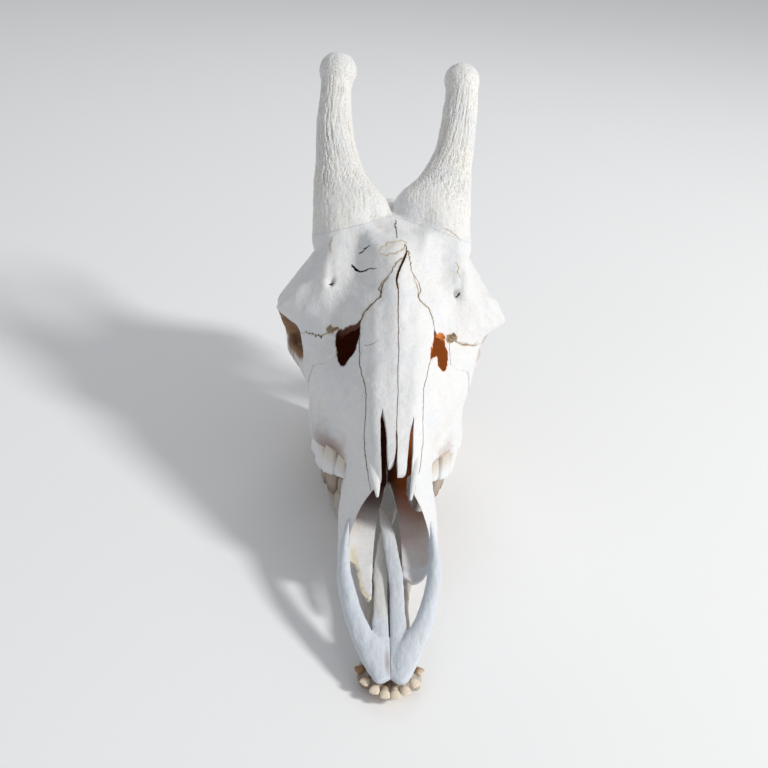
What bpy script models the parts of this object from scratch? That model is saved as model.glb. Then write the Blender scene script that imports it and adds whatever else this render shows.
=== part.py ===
# Giraffe skull at life size, lying on its lower jaw.
# Sizes are millimetres in the skull's own frame: X to its left side, Y from the muzzle
# tip back to the neck, Z up, with the muzzle tip at the origin. The finished parts are
# then tipped to the resting pose and written in metres, with the origin under the middle.

import math

import bmesh
import bpy
import numpy as np

MM = 0.001

# Whole pose
REST_PITCH = math.radians(7.75)
REST_LEVEL = -18.6
REST_CENTRE = 254.92

# Gap left between neighbouring bones
GAP = 0.3
SIDES = ((1, "left"), (-1, "right"))

# Meshing of the fused forms
VOXEL = 2.8
SMOOTH_ROUNDS = 4
SKULL_TRIANGLES = 5000
JAW_TRIANGLES = 800

# Face and braincase: at each distance back, the half outline from the top of the
# midline round the side to the underside of the midline
HEAD = {
    118: [(0, 27), (14, 27), (26, 26), (36, 24), (41, 19), (43, 13.5), (43.5, 8), (41.5, 3.5), (0, 1.5)],
    125: [(0, 30), (13, 29), (24, 28), (34, 26), (40, 21), (43, 15), (44, 9), (42, 4), (0, 2)],
    145: [(0, 58), (12, 56), (20, 52), (29, 42), (37, 32), (42, 22), (43.5, 14), (42, 7), (0, 5)],
    160: [(0, 76), (12, 73), (20, 66), (28, 56), (35, 44), (40.5, 31), (43, 19), (42, 10), (0, 7)],
    205: [(0, 103), (13, 100), (23, 92), (31, 78), (36, 62), (38.5, 46), (40, 33), (39, 25), (0, 13)],
    225: [(0, 115), (17, 111), (28, 101), (37, 85), (40, 67), (40, 51), (46, 40), (47, 28), (0, 18)],
    235: [(0, 121), (18.5, 116.5), (31, 106), (42, 88.5), (46, 70), (46.5, 53), (57, 40),
          (57.5, 26.5), (0, 20.5)],
    247: [(0, 128), (20.5, 122.5), (34.5, 111.5), (48, 92), (53, 73), (54, 56), (64.5, 40),
          (65, 25), (0, 23.3)],
    270: [(0, 141), (25, 134), (40, 119), (56, 98), (64, 78), (65, 58), (71, 41), (69, 25), (0, 26)],
    300: [(0, 157), (28, 146), (43, 125), (60, 107), (74, 86), (79, 62), (75, 42), (70, 25), (0, 28)],
    325: [(0, 170), (36, 156), (60, 135), (82, 108), (86, 86), (84, 62), (77, 42), (68, 25), (0, 28)],
    334: [(0, 175), (39, 161), (66, 141), (92, 116), (92, 102), (74, 88), (72, 62), (66, 34), (0, 28)],
    342: [(0, 179), (42, 164), (72, 145), (101, 119), (101, 104), (70, 88), (66, 62), (58, 34), (0, 29)],
    350: [(0, 182), (44, 169), (76, 148), (111, 118), (106, 104), (66, 87), (61, 62), (52, 36), (0, 31)],
    356: [(0, 184), (46, 173), (78, 149), (112, 114), (105, 102), (63, 86), (58, 64), (47, 42), (0, 36)],
    372: [(0, 188), (50, 181), (78, 152), (112, 107), (104, 98), (62, 90), (57, 72), (36, 60), (0, 56)],
    390: [(0, 190), (56, 185), (77, 150), (113, 99), (104, 90), (62, 90), (56, 76), (34, 62), (0, 60)],
    408: [(0, 190), (56, 187), (76, 150), (104, 102), (94, 92), (60, 92), (54, 78), (32, 64), (0, 62)],
    425: [(0, 187), (48, 184), (70, 152), (82, 114), (72, 98), (58, 92), (52, 80), (30, 66), (0, 63)],
    445: [(0, 181), (38, 176), (56, 156), (60, 126), (60, 108), (58, 95), (50, 82), (28, 68), (0, 65)],
    470: [(0, 171), (30, 168), (46, 150), (54, 126), (57, 108), (56, 94), (46, 80), (26, 70), (0, 67)],
    495: [(0, 157), (28, 153), (44, 138), (53, 116), (58, 98), (56, 84), (42, 74), (24, 68), (0, 66)],
    512: [(0, 143), (22, 138), (36, 122), (45, 104), (48, 90), (44, 78), (34, 68), (20, 62), (0, 60)],
}
# Nasal cavity, in the same way
CAVITY = {
    80: [(0, 60), (30, 60), (35, 30), (32, 6), (0, 5.5)],
    100: [(0, 60), (30, 60), (36, 30), (33, 6.5), (0, 6)],
    125: [(0, 70), (28, 66), (34, 34), (34, 9), (0, 8)],
    145: [(0, 70), (18, 64), (29, 40), (35, 14), (0, 10)],
    160: [(0, 71), (11, 68), (22, 50), (35, 15), (0, 12)],
    205: [(0, 97), (12, 92), (26, 70), (34, 21), (0, 19)],
    235: [(0, 115), (20, 106), (34, 78), (32, 30), (0, 26)],
    265: [(0, 131), (26, 119), (46, 88), (38, 35), (0, 30)],
    300: [(0, 150), (32, 132), (58, 90), (46, 40), (0, 34)],
    320: [(0, 150), (30, 132), (50, 88), (44, 46), (0, 38)],
    332: [(0, 130), (14, 120), (22, 86), (20, 52), (0, 46)],
}
# Tubes of the back of the skull: x, y, z, half width, half height
ORBIT_BAR = [
    (91, 384, 94, 22, 7), (90, 395, 81, 24.5, 5.5), (91.5, 401, 66, 20.5, 6), (93, 402, 49, 13, 6),
    (93.5, 399, 37, 11, 6),
]
ORBIT_FLOOR = [(68, 346, 52, 13, 10), (80, 362, 47, 13, 7), (89, 377, 44, 9, 5)]
CHEEK_ARCH = [
    (66, 318, 48, 10, 14), (79, 340, 47, 7, 12), (88, 362, 43, 5, 9), (98, 387, 42, 5, 8),
    (99, 412, 49, 4.5, 8), (93, 436, 63, 5, 8), (80, 452, 79, 9, 9), (58, 462, 92, 12, 12),
]
JAW_SOCKET = [(52, 447, 88, 12, 10), (70, 446, 84, 12, 8), (84, 446, 82, 8, 5)]
PTERYGOID = [(26, 338, 26, 5, 9), (22, 360, 34, 3.2, 12), (20, 385, 46, 3.2, 13), (20, 402, 58, 4, 9)]
NUCHAL_CREST = [
    (-47, 494, 112, 4, 6), (-38, 501, 137, 4.5, 6), (0, 509, 150, 5.5, 6), (38, 501, 137, 4.5, 6),
    (47, 494, 112, 4, 6),
]
CONDYLE = [(11, 512, 62, 8, 8), (20, 522, 66, 10, 13), (26, 521, 78, 8, 12), (26, 512, 90, 6, 8)]
PAROCCIPITAL = [(44, 496, 86, 10, 9), (46, 498, 66, 8, 7), (44, 496, 46, 4.5, 5)]
EAR_BULLA = [(34, 462, 68, 5, 7), (35, 474, 64, 8, 10), (37, 486, 68, 6, 8)]
OCCIPUT_RIDGE = [(0, 506, 148, 4, 6), (0, 511, 128, 3, 4), (0, 512, 108, 3.5, 4)]
SPINAL_HOLE = [(0, 535, 84, 13, 11), (0, 498, 84, 12, 10)]

# Ossicones, from the brow to the knob, each as if it stood on the left
HORN_LEFT = [
    (37, 400, 160, 39.5, 27), (35, 420, 181, 39.3, 27), (35.2, 430, 190, 39.2, 26), (37.2, 438, 197, 36.6, 24.5),
    (42.8, 446, 204, 30.8, 22.5), (47.5, 453, 210, 26.6, 21), (52.2, 466, 220, 22.1, 19),
    (57.2, 482, 233, 19.3, 17.6), (59.8, 500, 248, 17.9, 16.6), (61.2, 511, 258.5, 17.5, 16.2),
    (62.3, 522, 269, 16.6, 16), (62.3, 531, 278, 17, 17),
]
HORN_RIGHT = [
    (43.5, 400, 160, 39.5, 27), (44, 420, 181, 39, 27), (46, 430, 190, 37.5, 25.5), (50.8, 438, 197, 32.7, 23.5),
    (55.5, 446, 204, 28, 22), (58.5, 453, 210, 24.9, 20.5), (61.6, 466, 220, 21.8, 19),
    (65.3, 482, 233, 19.3, 17.5), (67, 497, 246, 17.8, 16.5), (67.1, 511, 258.5, 16.4, 16),
    (66.9, 522, 269, 15.7, 15.6), (66, 531, 278, 17, 16.5),
]
# Middle and radius of each knob
KNOB_LEFT = (62, 535.3, 281.8, 18.5)
KNOB_RIGHT = (65.9, 535.5, 282.3, 19.3)
# Place across of the seam where the two horns meet
HORN_SEAM = -4.7
# Space that takes in a whole horn, from the middle of its foot on the brow upward, and the way
# up from the foot
HORN_SPACE = [
    (42, 393, 183.5, 51.5, 34), (46, 400, 196, 53, 38), (56, 462, 236, 62, 52), (66, 520, 284, 70, 58),
    (72, 570, 326, 72, 62),
]
HORN_FOOT_UP = (0.17, 0.40, 0.90)

# Nasal bones: outer edge of each bone, and the slot that forks it, at each distance back
NASAL_EDGE_LEFT = {
    128: 14, 143: 16, 160: 20.3, 174: 23.5, 186: 25, 198: 26, 215: 25.5, 233: 25.5, 245: 28, 258: 31,
    270: 33, 296: 36.3, 302: 34.4, 309: 28.8, 312: 19.8, 320: 20.5, 326: 18.7, 330: 13, 338: 11,
    345: 9.5, 351: 8.6,
}
NASAL_EDGE_RIGHT = {
    128: 14, 143: 16, 160: 20.3, 174: 23.5, 186: 25, 198: 26, 215: 25.5, 233: 26.5, 245: 30, 258: 32.4,
    270: 33, 293: 33.6, 301: 31.6, 305: 24.6, 308: 17.5, 312: 15.3, 318: 17, 323: 13.5, 327: 7.8,
    336: 1.5, 341: -1.5,
}
NASAL_SLOT_LEFT = {
    120: (-1, 14), 143: (-1, 14.6), 157: (-1, 15.5), 160: (8, 16), 165: (11, 16.3), 175: (11.6, 16.5),
    193: (13.3, 16.6), 207: (16.4, 16.9),
}
NASAL_SLOT_RIGHT = {
    120: (-1, 13), 144: (-1, 13), 150: (-1, 11.6), 159: (-1, 10.6), 162: (2.4, 10.8), 172: (5.6, 11.6),
    185: (6.6, 12.4), 202: (8.8, 13), 211: (11.3, 11.9),
}
SLOT_LEVELS = (30, 150)
# Seam between the two nasal bones: its place across at each distance back
NASAL_SEAM = {110: 0.3, 161: 1, 218: 1.6, 290: 0.3, 310: -0.6, 321: -1.8, 327: -0.4, 342: 5.1, 352: 7.6}
# Level that each nasal reaches down to, and one above it all
NASAL_UNDERSIDE = {128: 30, 150: 52, 170: 62, 205: 84, 235: 98, 265: 112, 300: 126, 310: 146, 350: 170}
NASAL_ABOVE = 215
# Opening beside each nasal, into the nose: inner and outer edge at each distance back
OPENING_RIGHT = {
    265: (45.6, 47), 267: (43.5, 49), 270: (38, 50.5), 275: (35.5, 51.9), 282: (33.4, 53.5), 288: (33.2, 54),
    294: (34, 54.3), 300: (37, 54.6), 304: (39.2, 54.6), 307: (47, 53.6), 309: (51, 53),
}
OPENING_LEFT = {
    257: (36.5, 39), 260: (33.6, 40.5), 264: (32.2, 42.5), 271: (32.1, 46.5), 280: (32.1, 51),
    288: (32.4, 54),
    296: (36.3, 54.4), 302: (39.4, 53.8), 304.5: (43, 52),
}
OPENING_LEVELS = (70, 150)

# Where the face is parted into maxilla, lacrimal with cheek bone, and cranium: how far back the
# maxilla makes up the whole face, the inner side of the cheek bone, the back ends of the maxilla's
# wall and tooth block, the front of the eye socket, the back end of the cheek bone's arch, and the
# levels of the suture under the brow, the arch's top and the tooth block's top
FACE_END = 297
CHEEK_INNER = 62
WALL_END = 338
TOOTH_BLOCK_END = 354
SOCKET_FRONT = 347
ARCH_END = 428
SUTURE_LEVEL = 103
ARCH_TOP = 66
TOOTH_BLOCK_TOP = 40

# Gap between the two palate plates: its two edges at each distance back
PALATE_GAP = {
    60: (-15, 11), 120: (-13.5, 12.5), 170: (-9, 10), 190: (-4.4, 6.8), 202: (-2.4, 4.6), 208: (0.4, 2),
}
PALATE_GAP_LEVELS = (-20, 25)

# Muzzle bars: x, y, z, half width, half height
MUZZLE_BAR = [
    (6.5, 2, -1, 6.2, 3.2), (9.5, 12, -1, 9, 4.6), (13.5, 26, 0, 11.5, 5.5), (22, 42, 2, 9.5, 6),
    (29, 58, 4.5, 8, 6.6), (34.5, 78, 8.5, 7, 7), (38.5, 98, 12, 6.3, 7.4), (40.1, 115, 16, 5.6, 8),
    (39.6, 130, 21, 4.4, 8.6), (36.4, 143, 29.5, 3.6, 8.4), (31.2, 154, 40.5, 1.5, 3.6),
]
MUZZLE_BODY = [(6.8, 4, -1.5, 6.5, 3.4), (9, 20, -1.2, 8.8, 4.6), (9, 42, -0.5, 8.8, 4)]
MUZZLE_TONGUE_LEFT = [
    (8.5, 34, 0, 8.3, 3.4), (7, 62, 1.5, 6.8, 2.8), (6.6, 92, 5, 6.4, 2.6), (3.3, 125, 10, 6.3, 2.4),
    (-1, 155, 13.5, 5.6, 2.3), (-5.7, 177, 15, 2.6, 1.8),
]
MUZZLE_TONGUE_RIGHT = [
    (8.5, 34, -0.5, 8.3, 3.2), (7, 62, -0.3, 6.8, 2.6), (6.6, 92, 0, 6.2, 2.4), (5.4, 125, 1.5, 5.8, 2.2),
    (1.5, 155, 4.5, 5, 2.2), (-8.3, 187, 8.5, 2.2, 1.6),
]

# Lower jaw, half: x, y, z, half width, half height
JAW_BODY = [
    (12, 3, -10.5, 12.5, 3.4), (12.5, 14, -11.5, 14, 5), (11.5, 32, -14, 11.5, 7),
    (10.5, 55, -16.5, 9.5, 9.5), (10.5, 85, -19, 9, 12), (12, 108, -21.5, 8.6, 13.8),
    (18, 135, -23.7, 7.8, 14.5), (25, 170, -25.5, 7.4, 14), (33.5, 208, -27.5, 7.8, 17.5),
    (43, 245, -30.5, 9.2, 20), (49, 290, -33.5, 9.8, 23.5), (54, 330, -37, 9.6, 26.5),
    (57, 362, -38.5, 7.5, 29), (58, 388, -36, 6, 29),
]
JAW_RAMUS = [
    (57, 377, -67, 5, 14), (57.5, 384, -58, 6.3, 28), (58.5, 393, -38, 6, 35), (60, 402, -12, 5.4, 33),
    (62.5, 412, 14, 5, 30), (65, 423, 38, 4.8, 24), (66.5, 434, 58, 5.2, 12),
]
JAW_CONDYLE = [(56, 441, 67, 4, 4.2), (66, 441, 69, 6, 5), (75, 440, 67, 4, 4.2)]
JAW_CORONOID = [
    (64, 406, 34, 3.5, 13), (64.5, 403, 52, 3.2, 10), (65.5, 403, 68, 2.8, 7.5), (66.5, 408, 80, 2.4, 4.5),
    (67, 414, 87, 2, 2.5),
]

# Block that holds the left half of the jaw, from the gap in the middle outward
JAW_SPACE = (120, -60, 500, -120, 150)

# Cheek teeth: distance along the row of each tooth's middle, half length, half width
UPPER_ROW = {212: 39, 222: 46, 236: 58, 249: 65.5, 270: 69.5, 296: 70, 322: 68.5, 350: 63}
UPPER_TEETH = [
    (220.5, 8.6, 7.5), (234, 9.2, 9), (249, 9.6, 10.5), (270.5, 12, 11.5), (296, 13.2, 12), (322.5, 13, 11),
]
BITE_LEVEL = {212: 9, 222: 7, 236: 2, 250: -2, 290: -3, 320: -2, 350: 3}
TOOTH_SIDES = 8
# Half the gap between the two rows
BITE_GAP = 0.4
UPPER_ROOT = 33
LOWER_ROW_SHIFT = 6
LOWER_TEETH = [
    (224, 7.4, 4.6), (237.5, 8.2, 5.4), (252.5, 8.8, 6.2), (273, 11.4, 7.2), (298, 12.8, 7.6),
    (325.5, 13.6, 7.2),
]
LOWER_ROOT = -22
# Front teeth of the lower jaw: x and y of the crown's tip, and how far the crown turns out
FRONT_TEETH = [(4.4, -9.5, 0.06), (13.2, -5.5, 0.3), (21.4, 2.8, 0.65), (26.4, 15, 1.05)]
FRONT_TOOTH_LEVEL = -7
FRONT_TOOTH_RISE = 0.32
# From root to tip: distance behind the tip, half width, half thickness
FRONT_TOOTH_SHAPE = [(20, 2.2, 2.2), (9, 3, 3.2), (4, 4.1, 3.7), (0, 3.3, 2.25)]
# Plates of the palate that reach on in front of the face: edges at each distance back
PLATE_RIGHT = {
    77: (16.5, 18.5), 82: (14, 20.5), 90: (13.4, 24.5), 107: (13.6, 28), 120: (13.5, 30.5), 128: (13, 32),
}
PLATE_LEFT = {98: (19, 22), 101: (17, 27), 104: (13, 31), 110: (11.5, 34), 118: (11.5, 38), 126: (11.5, 38)}
PLATE_LEVELS = (1.2, 5.4)
# Side prong of each nasal bone, from its root to its tip
PRONG_LEFT = [
    (20, 178, 76, 3.8, 2.6), (18.4, 163, 70, 3, 2.3), (16.7, 152, 65, 2.2, 1.8), (15.2, 143, 61, 1.1, 1.1),
]
PRONG_RIGHT = [
    (17.6, 178, 75.5, 5.6, 2.6), (15.8, 163, 69.5, 4.8, 2.4), (14.4, 152, 65.3, 3, 2),
    (13.6, 144, 62, 1.2, 1.2),
]

BONE_COLOURS = {
    "cranium": (0.80, 0.79, 0.76), "ossicone": (0.82, 0.80, 0.74), "nasal": (0.84, 0.83, 0.80),
    "maxilla": (0.80, 0.79, 0.78), "cheek": (0.79, 0.78, 0.76), "premaxilla": (0.78, 0.80, 0.83),
    "mandible": (0.74, 0.70, 0.64),
}


# Interpolation and closed surfaces

def curve(knots, values, at):
    """Values at the asked places, by a smooth curve through the knots that doesn't overshoot."""
    t = np.asarray(knots, float)
    v = np.asarray(values, float).reshape(len(t), -1)
    q = np.clip(np.asarray(at, float), t[0], t[-1])
    step = np.diff(t)[:, None]
    rate = np.diff(v, axis=0) / step
    slope = np.zeros_like(v)
    slope[0] = rate[0]
    slope[-1] = rate[-1]
    if len(t) > 2:
        before, after = rate[:-1], rate[1:]
        near = 2 * step[1:] + step[:-1]
        far = step[1:] + 2 * step[:-1]
        safe = np.where(before * after > 0, 1.0, 0.0)
        mean = (near + far) / (near / np.where(safe, before, 1) + far / np.where(safe, after, 1))
        slope[1:-1] = np.where(safe > 0, mean, 0)
    i = np.clip(np.searchsorted(t, q, side="right") - 1, 0, len(t) - 2)
    h = (t[i + 1] - t[i])[:, None]
    s = ((q - t[i]) / (t[i + 1] - t[i]))[:, None]
    return (v[i] * (1 + 2 * s) * (1 - s) ** 2 + slope[i] * h * s * (1 - s) ** 2
            + v[i + 1] * s * s * (3 - 2 * s) + slope[i + 1] * h * s * s * (s - 1))


def table(sizes, at):
    """One column of a table of sizes, read smoothly at the asked places."""
    return curve(list(sizes), list(sizes.values()), at)


def closed_grid(points):
    """Faces of a tube of rings, closed at both ends with a fan round the ring's middle."""
    rings, around = points.shape[:2]
    flat = points.reshape(-1, 3)
    first, last = points[0].mean(axis=0), points[-1].mean(axis=0)
    verts = np.vstack([flat, first, last])
    faces = []
    for i in range(rings - 1):
        for j in range(around):
            k = (j + 1) % around
            faces.append((i * around + j, i * around + k, (i + 1) * around + k, (i + 1) * around + j))
    a, b = len(flat), len(flat) + 1
    base = (rings - 1) * around
    for j in range(around):
        k = (j + 1) % around
        faces.append((a, k, j))
        faces.append((b, base + j, base + k))
    return verts, faces


def outline_loft(sizes, rows, around):
    """A closed form through half outlines given at distances back, mirrored to both sides."""
    ys = np.array(list(sizes), float)
    half = np.array(list(sizes.values()), float)
    at = np.linspace(ys[0], ys[-1], rows)
    keyed = curve(ys, half.reshape(len(ys), -1), at).reshape(rows, -1, 2)
    full = np.concatenate([keyed, keyed[:, -2:0:-1] * [-1, 1]], axis=1)
    count = full.shape[1]
    t = np.linspace(0, count, around, endpoint=False)
    i = np.floor(t).astype(int)
    s = (t - i)[None, :, None]
    p0, p1, p2, p3 = (full[:, (i + d) % count] for d in (-1, 0, 1, 2))
    ring = 0.5 * (2 * p1 + (p2 - p0) * s + (2 * p0 - 5 * p1 + 4 * p2 - p3) * s ** 2
                  + (3 * p1 - p0 - 3 * p2 + p3) * s ** 3)
    points = np.stack([ring[..., 0], np.repeat(at[:, None], around, axis=1), ring[..., 1]], axis=-1)
    return closed_grid(points)


def tube(stations, rows=16, around=20, side=(1, 0, 0), level=False, end_rings=3):
    """A closed tube through stations of middle, half width and half height. A level one keeps the
    width of every section along the side direction."""
    data = np.asarray(stations, float)
    length = np.concatenate([[0], np.cumsum(np.linalg.norm(np.diff(data[:, :3], axis=0), axis=1))])
    at = np.linspace(0, length[-1], rows)
    read = curve(length, data, at)
    middle, wide, high = read[:, :3], read[:, 3], read[:, 4]
    along = np.gradient(middle, axis=0)
    if level:
        along -= (along @ np.asarray(side, float))[:, None] * np.asarray(side, float)
    along /= np.linalg.norm(along, axis=1)[:, None]
    if end_rings:
        for e, sign in zip((0, -1), (-1, 1)):
            cap = 0.8 * min(wide[e], high[e])
            steps = np.sin(np.linspace(0, np.pi / 2, end_rings + 1)[1:])
            shrink = np.sqrt(np.maximum(1 - steps ** 2, 0.02))
            extra = middle[e] + sign * along[e] * cap * steps[:, None]
            if e == 0:
                middle = np.vstack([extra[::-1], middle])
                wide = np.concatenate([(wide[0] * shrink)[::-1], wide])
                high = np.concatenate([(high[0] * shrink)[::-1], high])
                along = np.vstack([np.repeat(along[:1], end_rings, axis=0), along])
            else:
                middle = np.vstack([middle, extra])
                wide = np.concatenate([wide, wide[-1] * shrink])
                high = np.concatenate([high, high[-1] * shrink])
                along = np.vstack([along, np.repeat(along[-1:], end_rings, axis=0)])
    across = np.asarray(side, float) - (along @ np.asarray(side, float))[:, None] * along
    across /= np.linalg.norm(across, axis=1)[:, None]
    upward = np.cross(across, along)
    turn = np.linspace(0, 2 * np.pi, around, endpoint=False)
    c, s = np.cos(turn), np.sin(turn)
    points = (middle[:, None] + across[:, None] * (wide[:, None] * c)[..., None]
              + upward[:, None] * (high[:, None] * s)[..., None])
    return closed_grid(points)


def ball(middle, radii, rows=12, around=20):
    """A closed ball or egg."""
    turn = np.linspace(0, 2 * np.pi, around, endpoint=False)
    lift = np.linspace(-np.pi / 2, np.pi / 2, rows + 2)[1:-1]
    points = np.stack([np.cos(lift)[:, None] * np.cos(turn), np.cos(lift)[:, None] * np.sin(turn),
                       np.repeat(np.sin(lift)[:, None], around, axis=1)], axis=-1)
    return closed_grid(points * radii + middle)


def strip_block(ys, inner, outer, low, high):
    """A closed block that follows the y values: inner and outer x, low and high z at each."""
    corners = np.stack([np.stack([inner, ys, low], -1), np.stack([outer, ys, low], -1),
                        np.stack([outer, ys, high], -1), np.stack([inner, ys, high], -1)], axis=1)
    return closed_grid(corners)


def box(x0, x1, y0, y1, z0, z1):
    """A plain block between two corners."""
    ends = np.array([y0, y1], float)
    one = np.ones(2)
    return strip_block(ends, one * x0, one * x1, one * z0, one * z1)


def mirrored(form):
    """The same form on the other side."""
    verts, faces = form
    return verts * [-1, 1, 1], [face[::-1] for face in faces]


def to_side(forms, side):
    """Forms that are given on the left, on the asked side."""
    return forms if side > 0 else [mirrored(form) for form in forms]


def grown(stations):
    """Stations of a tube made wider and higher by twice the gap between bones."""
    return [(x, y, z, wide + 2 * GAP, high + 2 * GAP) for x, y, z, wide, high in stations]


def both(forms):
    """Each form and its mirror image."""
    return forms + [mirrored(form) for form in forms]


# Blender objects and the tools that join, cut and tidy them

parts = bpy.data.collections.new("giraffe_skull")
cutters = bpy.data.collections.new("cutters")


def make_object(name, forms, into):
    """One mesh object from closed forms, in millimetres, faces outward."""
    mesh = bpy.data.meshes.new(name)
    bm = bmesh.new()
    for verts, faces in forms:
        made = [bm.verts.new(v) for v in verts]
        for face in faces:
            bm.faces.new([made[i] for i in face])
    bmesh.ops.triangulate(bm, faces=bm.faces)
    bm.normal_update()
    bm.to_mesh(mesh)
    bm.free()
    piece = bpy.data.objects.new(name, mesh)
    into.objects.link(piece)
    turn_outward(piece)
    return piece


def turn_outward(piece):
    """Turns every closed shell of a mesh so that its faces look outward."""
    bm = bmesh.new()
    bm.from_mesh(piece.data)
    bmesh.ops.recalc_face_normals(bm, faces=bm.faces)
    bm.to_mesh(piece.data)
    bm.free()


def settle(piece):
    """Applies the modifiers of a piece."""
    graph = bpy.context.evaluated_depsgraph_get()
    done = bpy.data.meshes.new_from_object(piece.evaluated_get(graph))
    piece.modifiers.clear()
    piece.data = done


def fuse(name, forms, triangles, voxel=VOXEL, rounds=SMOOTH_ROUNDS):
    """One smooth closed solid from overlapping closed forms, with about the asked number of triangles."""
    piece = make_object(name, forms, parts)
    remesh = piece.modifiers.new("fuse", "REMESH")
    remesh.mode = "VOXEL"
    remesh.voxel_size = voxel
    smooth = piece.modifiers.new("smooth", "SMOOTH")
    smooth.factor = 0.5
    smooth.iterations = rounds
    settle(piece)
    thin_out(piece, triangles)
    return piece


def thin_out(piece, triangles):
    """Reduces a mesh to about the asked number of triangles."""
    bm = bmesh.new()
    bm.from_mesh(piece.data)
    bmesh.ops.triangulate(bm, faces=bm.faces)
    bm.to_mesh(piece.data)
    bm.free()
    count = len(piece.data.polygons)
    if count > triangles:
        reduce = piece.modifiers.new("reduce", "DECIMATE")
        reduce.ratio = triangles / count
        settle(piece)


def boolean(piece, forms, kind, solver="MANIFOLD"):
    """Joins, cuts or keeps with closed forms, one after the other."""
    # The manifold solver takes a fraction of a second where the exact one takes minutes on the
    # dense fused skull, and every form here is closed
    for i, form in enumerate(forms):
        tool = make_object(f"{piece.name}_{kind.lower()}_{i}", [form], cutters)
        tool.display_type = "WIRE"
        tool.hide_render = True
        run_boolean(piece, tool, kind, solver)
        bpy.data.objects.remove(tool)


def run_boolean(piece, tool, kind, solver="MANIFOLD"):
    """One Boolean between two mesh objects, applied."""
    modifier = piece.modifiers.new(kind, "BOOLEAN")
    modifier.object = tool
    modifier.operation = kind
    modifier.solver = solver
    settle(piece)


def copy_of(piece, name):
    """A second object with its own copy of the mesh."""
    twin = bpy.data.objects.new(name, piece.data.copy())
    parts.objects.link(twin)
    return twin


def keep_largest(piece):
    """Keeps only the largest closed surface of a mesh."""
    bm = bmesh.new()
    bm.from_mesh(piece.data)
    bmesh.ops.remove_doubles(bm, verts=bm.verts, dist=0.002)
    left = set(bm.verts)
    shells = []
    while left:
        front = [left.pop()]
        shell = set(front)
        while front:
            for edge in front.pop().link_edges:
                for vert in edge.verts:
                    if vert in left:
                        left.discard(vert)
                        shell.add(vert)
                        front.append(vert)
        shells.append(shell)
    shells.sort(key=len, reverse=True)
    loose = [vert for shell in shells[1:] for vert in shell]
    bmesh.ops.delete(bm, geom=loose, context="VERTS")
    bmesh.ops.triangulate(bm, faces=bm.faces)
    bm.to_mesh(piece.data)
    bm.free()


# The regions that part the fused skull into its bones; grow widens each by the gap

def nasal_region(edge, side, grow):
    """A nasal bone: from the seam to its outer edge, as deep as the bone is thick."""
    ys = np.array(sorted(set(edge) | set(range(150, 300, 15))), float)
    inner = table(NASAL_SEAM, ys)[:, 0] * side + GAP / 2 - grow
    outer = np.maximum(table(edge, ys)[:, 0] + grow, inner + GAP)
    low = table(NASAL_UNDERSIDE, ys)[:, 0] - grow
    ys[-1] += grow
    return strip_block(ys, inner, outer, low, low * 0 + NASAL_ABOVE)


def upright_block(outline, low, high):
    """A block that stands upright on an outline seen from above."""
    ys = np.array(list(outline), float)
    xs = np.array(list(outline.values()), float)
    return strip_block(ys, xs[:, 0], xs[:, 1], np.full(len(ys), float(low)), np.full(len(ys), float(high)))


def maxilla_regions(grow):
    """The left maxilla: all of the face in front, and the wall and tooth block further back."""
    inner = GAP / 2 - grow
    return [
        box(inner, 110, 60, FACE_END + grow, -20, 175),
        box(inner, CHEEK_INNER + grow, FACE_END - 7, WALL_END + grow, -20, SUTURE_LEVEL + grow),
        box(inner, 95, FACE_END - 7, TOOTH_BLOCK_END + grow, -20, TOOTH_BLOCK_TOP + grow),
    ]


def cheek_regions(grow):
    """The left lacrimal and cheek bone, in front of and under the eye socket."""
    return [
        box(CHEEK_INNER - grow, 130, FACE_END - 7, SOCKET_FRONT + grow, 20, SUTURE_LEVEL + grow),
        box(CHEEK_INNER + 2 - grow, 130, SOCKET_FRONT - 7, ARCH_END + grow, 10, ARCH_TOP + grow),
    ]


def ossicone_region(side, grow):
    """All of a horn above the line where it grows on the brow, on its side of the seam."""
    up = np.array(HORN_FOOT_UP) / np.linalg.norm(HORN_FOOT_UP)
    stations = [(x, y, z, wide + grow, high + grow) for x, y, z, wide, high in HORN_SPACE]
    around = 24
    verts, faces = tube(stations, rows=12, around=around, end_rings=0)
    verts[:around] -= up * grow
    verts[-2] -= up * grow
    verts[:, 0] = np.maximum(verts[:, 0], HORN_SEAM * side + GAP / 2 - grow)
    return verts, faces


def regions_of(kind, side, grow):
    """The closed blocks that together hold one bone of the asked side."""
    if kind == "nasal":
        blocks = [nasal_region(NASAL_EDGE_LEFT if side > 0 else NASAL_EDGE_RIGHT, side, grow)]
    elif kind == "ossicone":
        blocks = [ossicone_region(side, grow)]
    elif kind == "maxilla":
        blocks = maxilla_regions(grow)
    else:
        blocks = cheek_regions(grow)
    return to_side(blocks, side)


# Teeth

def cheek_tooth(x, y, half_long, half_wide, root, lift, heading):
    """One cheek tooth: a squared column, a little waisted, from its root to the bite."""
    turn = np.linspace(0, 2 * np.pi, TOOTH_SIDES, endpoint=False)
    across = np.sign(np.cos(turn)) * np.abs(np.cos(turn)) ** 0.6 * half_wide
    along = np.sign(np.sin(turn)) * np.abs(np.sin(turn)) ** 0.6 * half_long
    rings = []
    for share, scale in ((0, 0.82), (0.5, 1.0), (0.88, 1.0), (1, 0.86)):
        xs = x + (across * math.cos(heading) + along * math.sin(heading)) * scale
        ys = y + (along * math.cos(heading) - across * math.sin(heading)) * scale
        bite = table(BITE_LEVEL, ys)[:, 0] + lift
        rings.append(np.stack([xs, ys, root + (bite - root) * share], -1))
    return closed_grid(np.array(rings))


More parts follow.
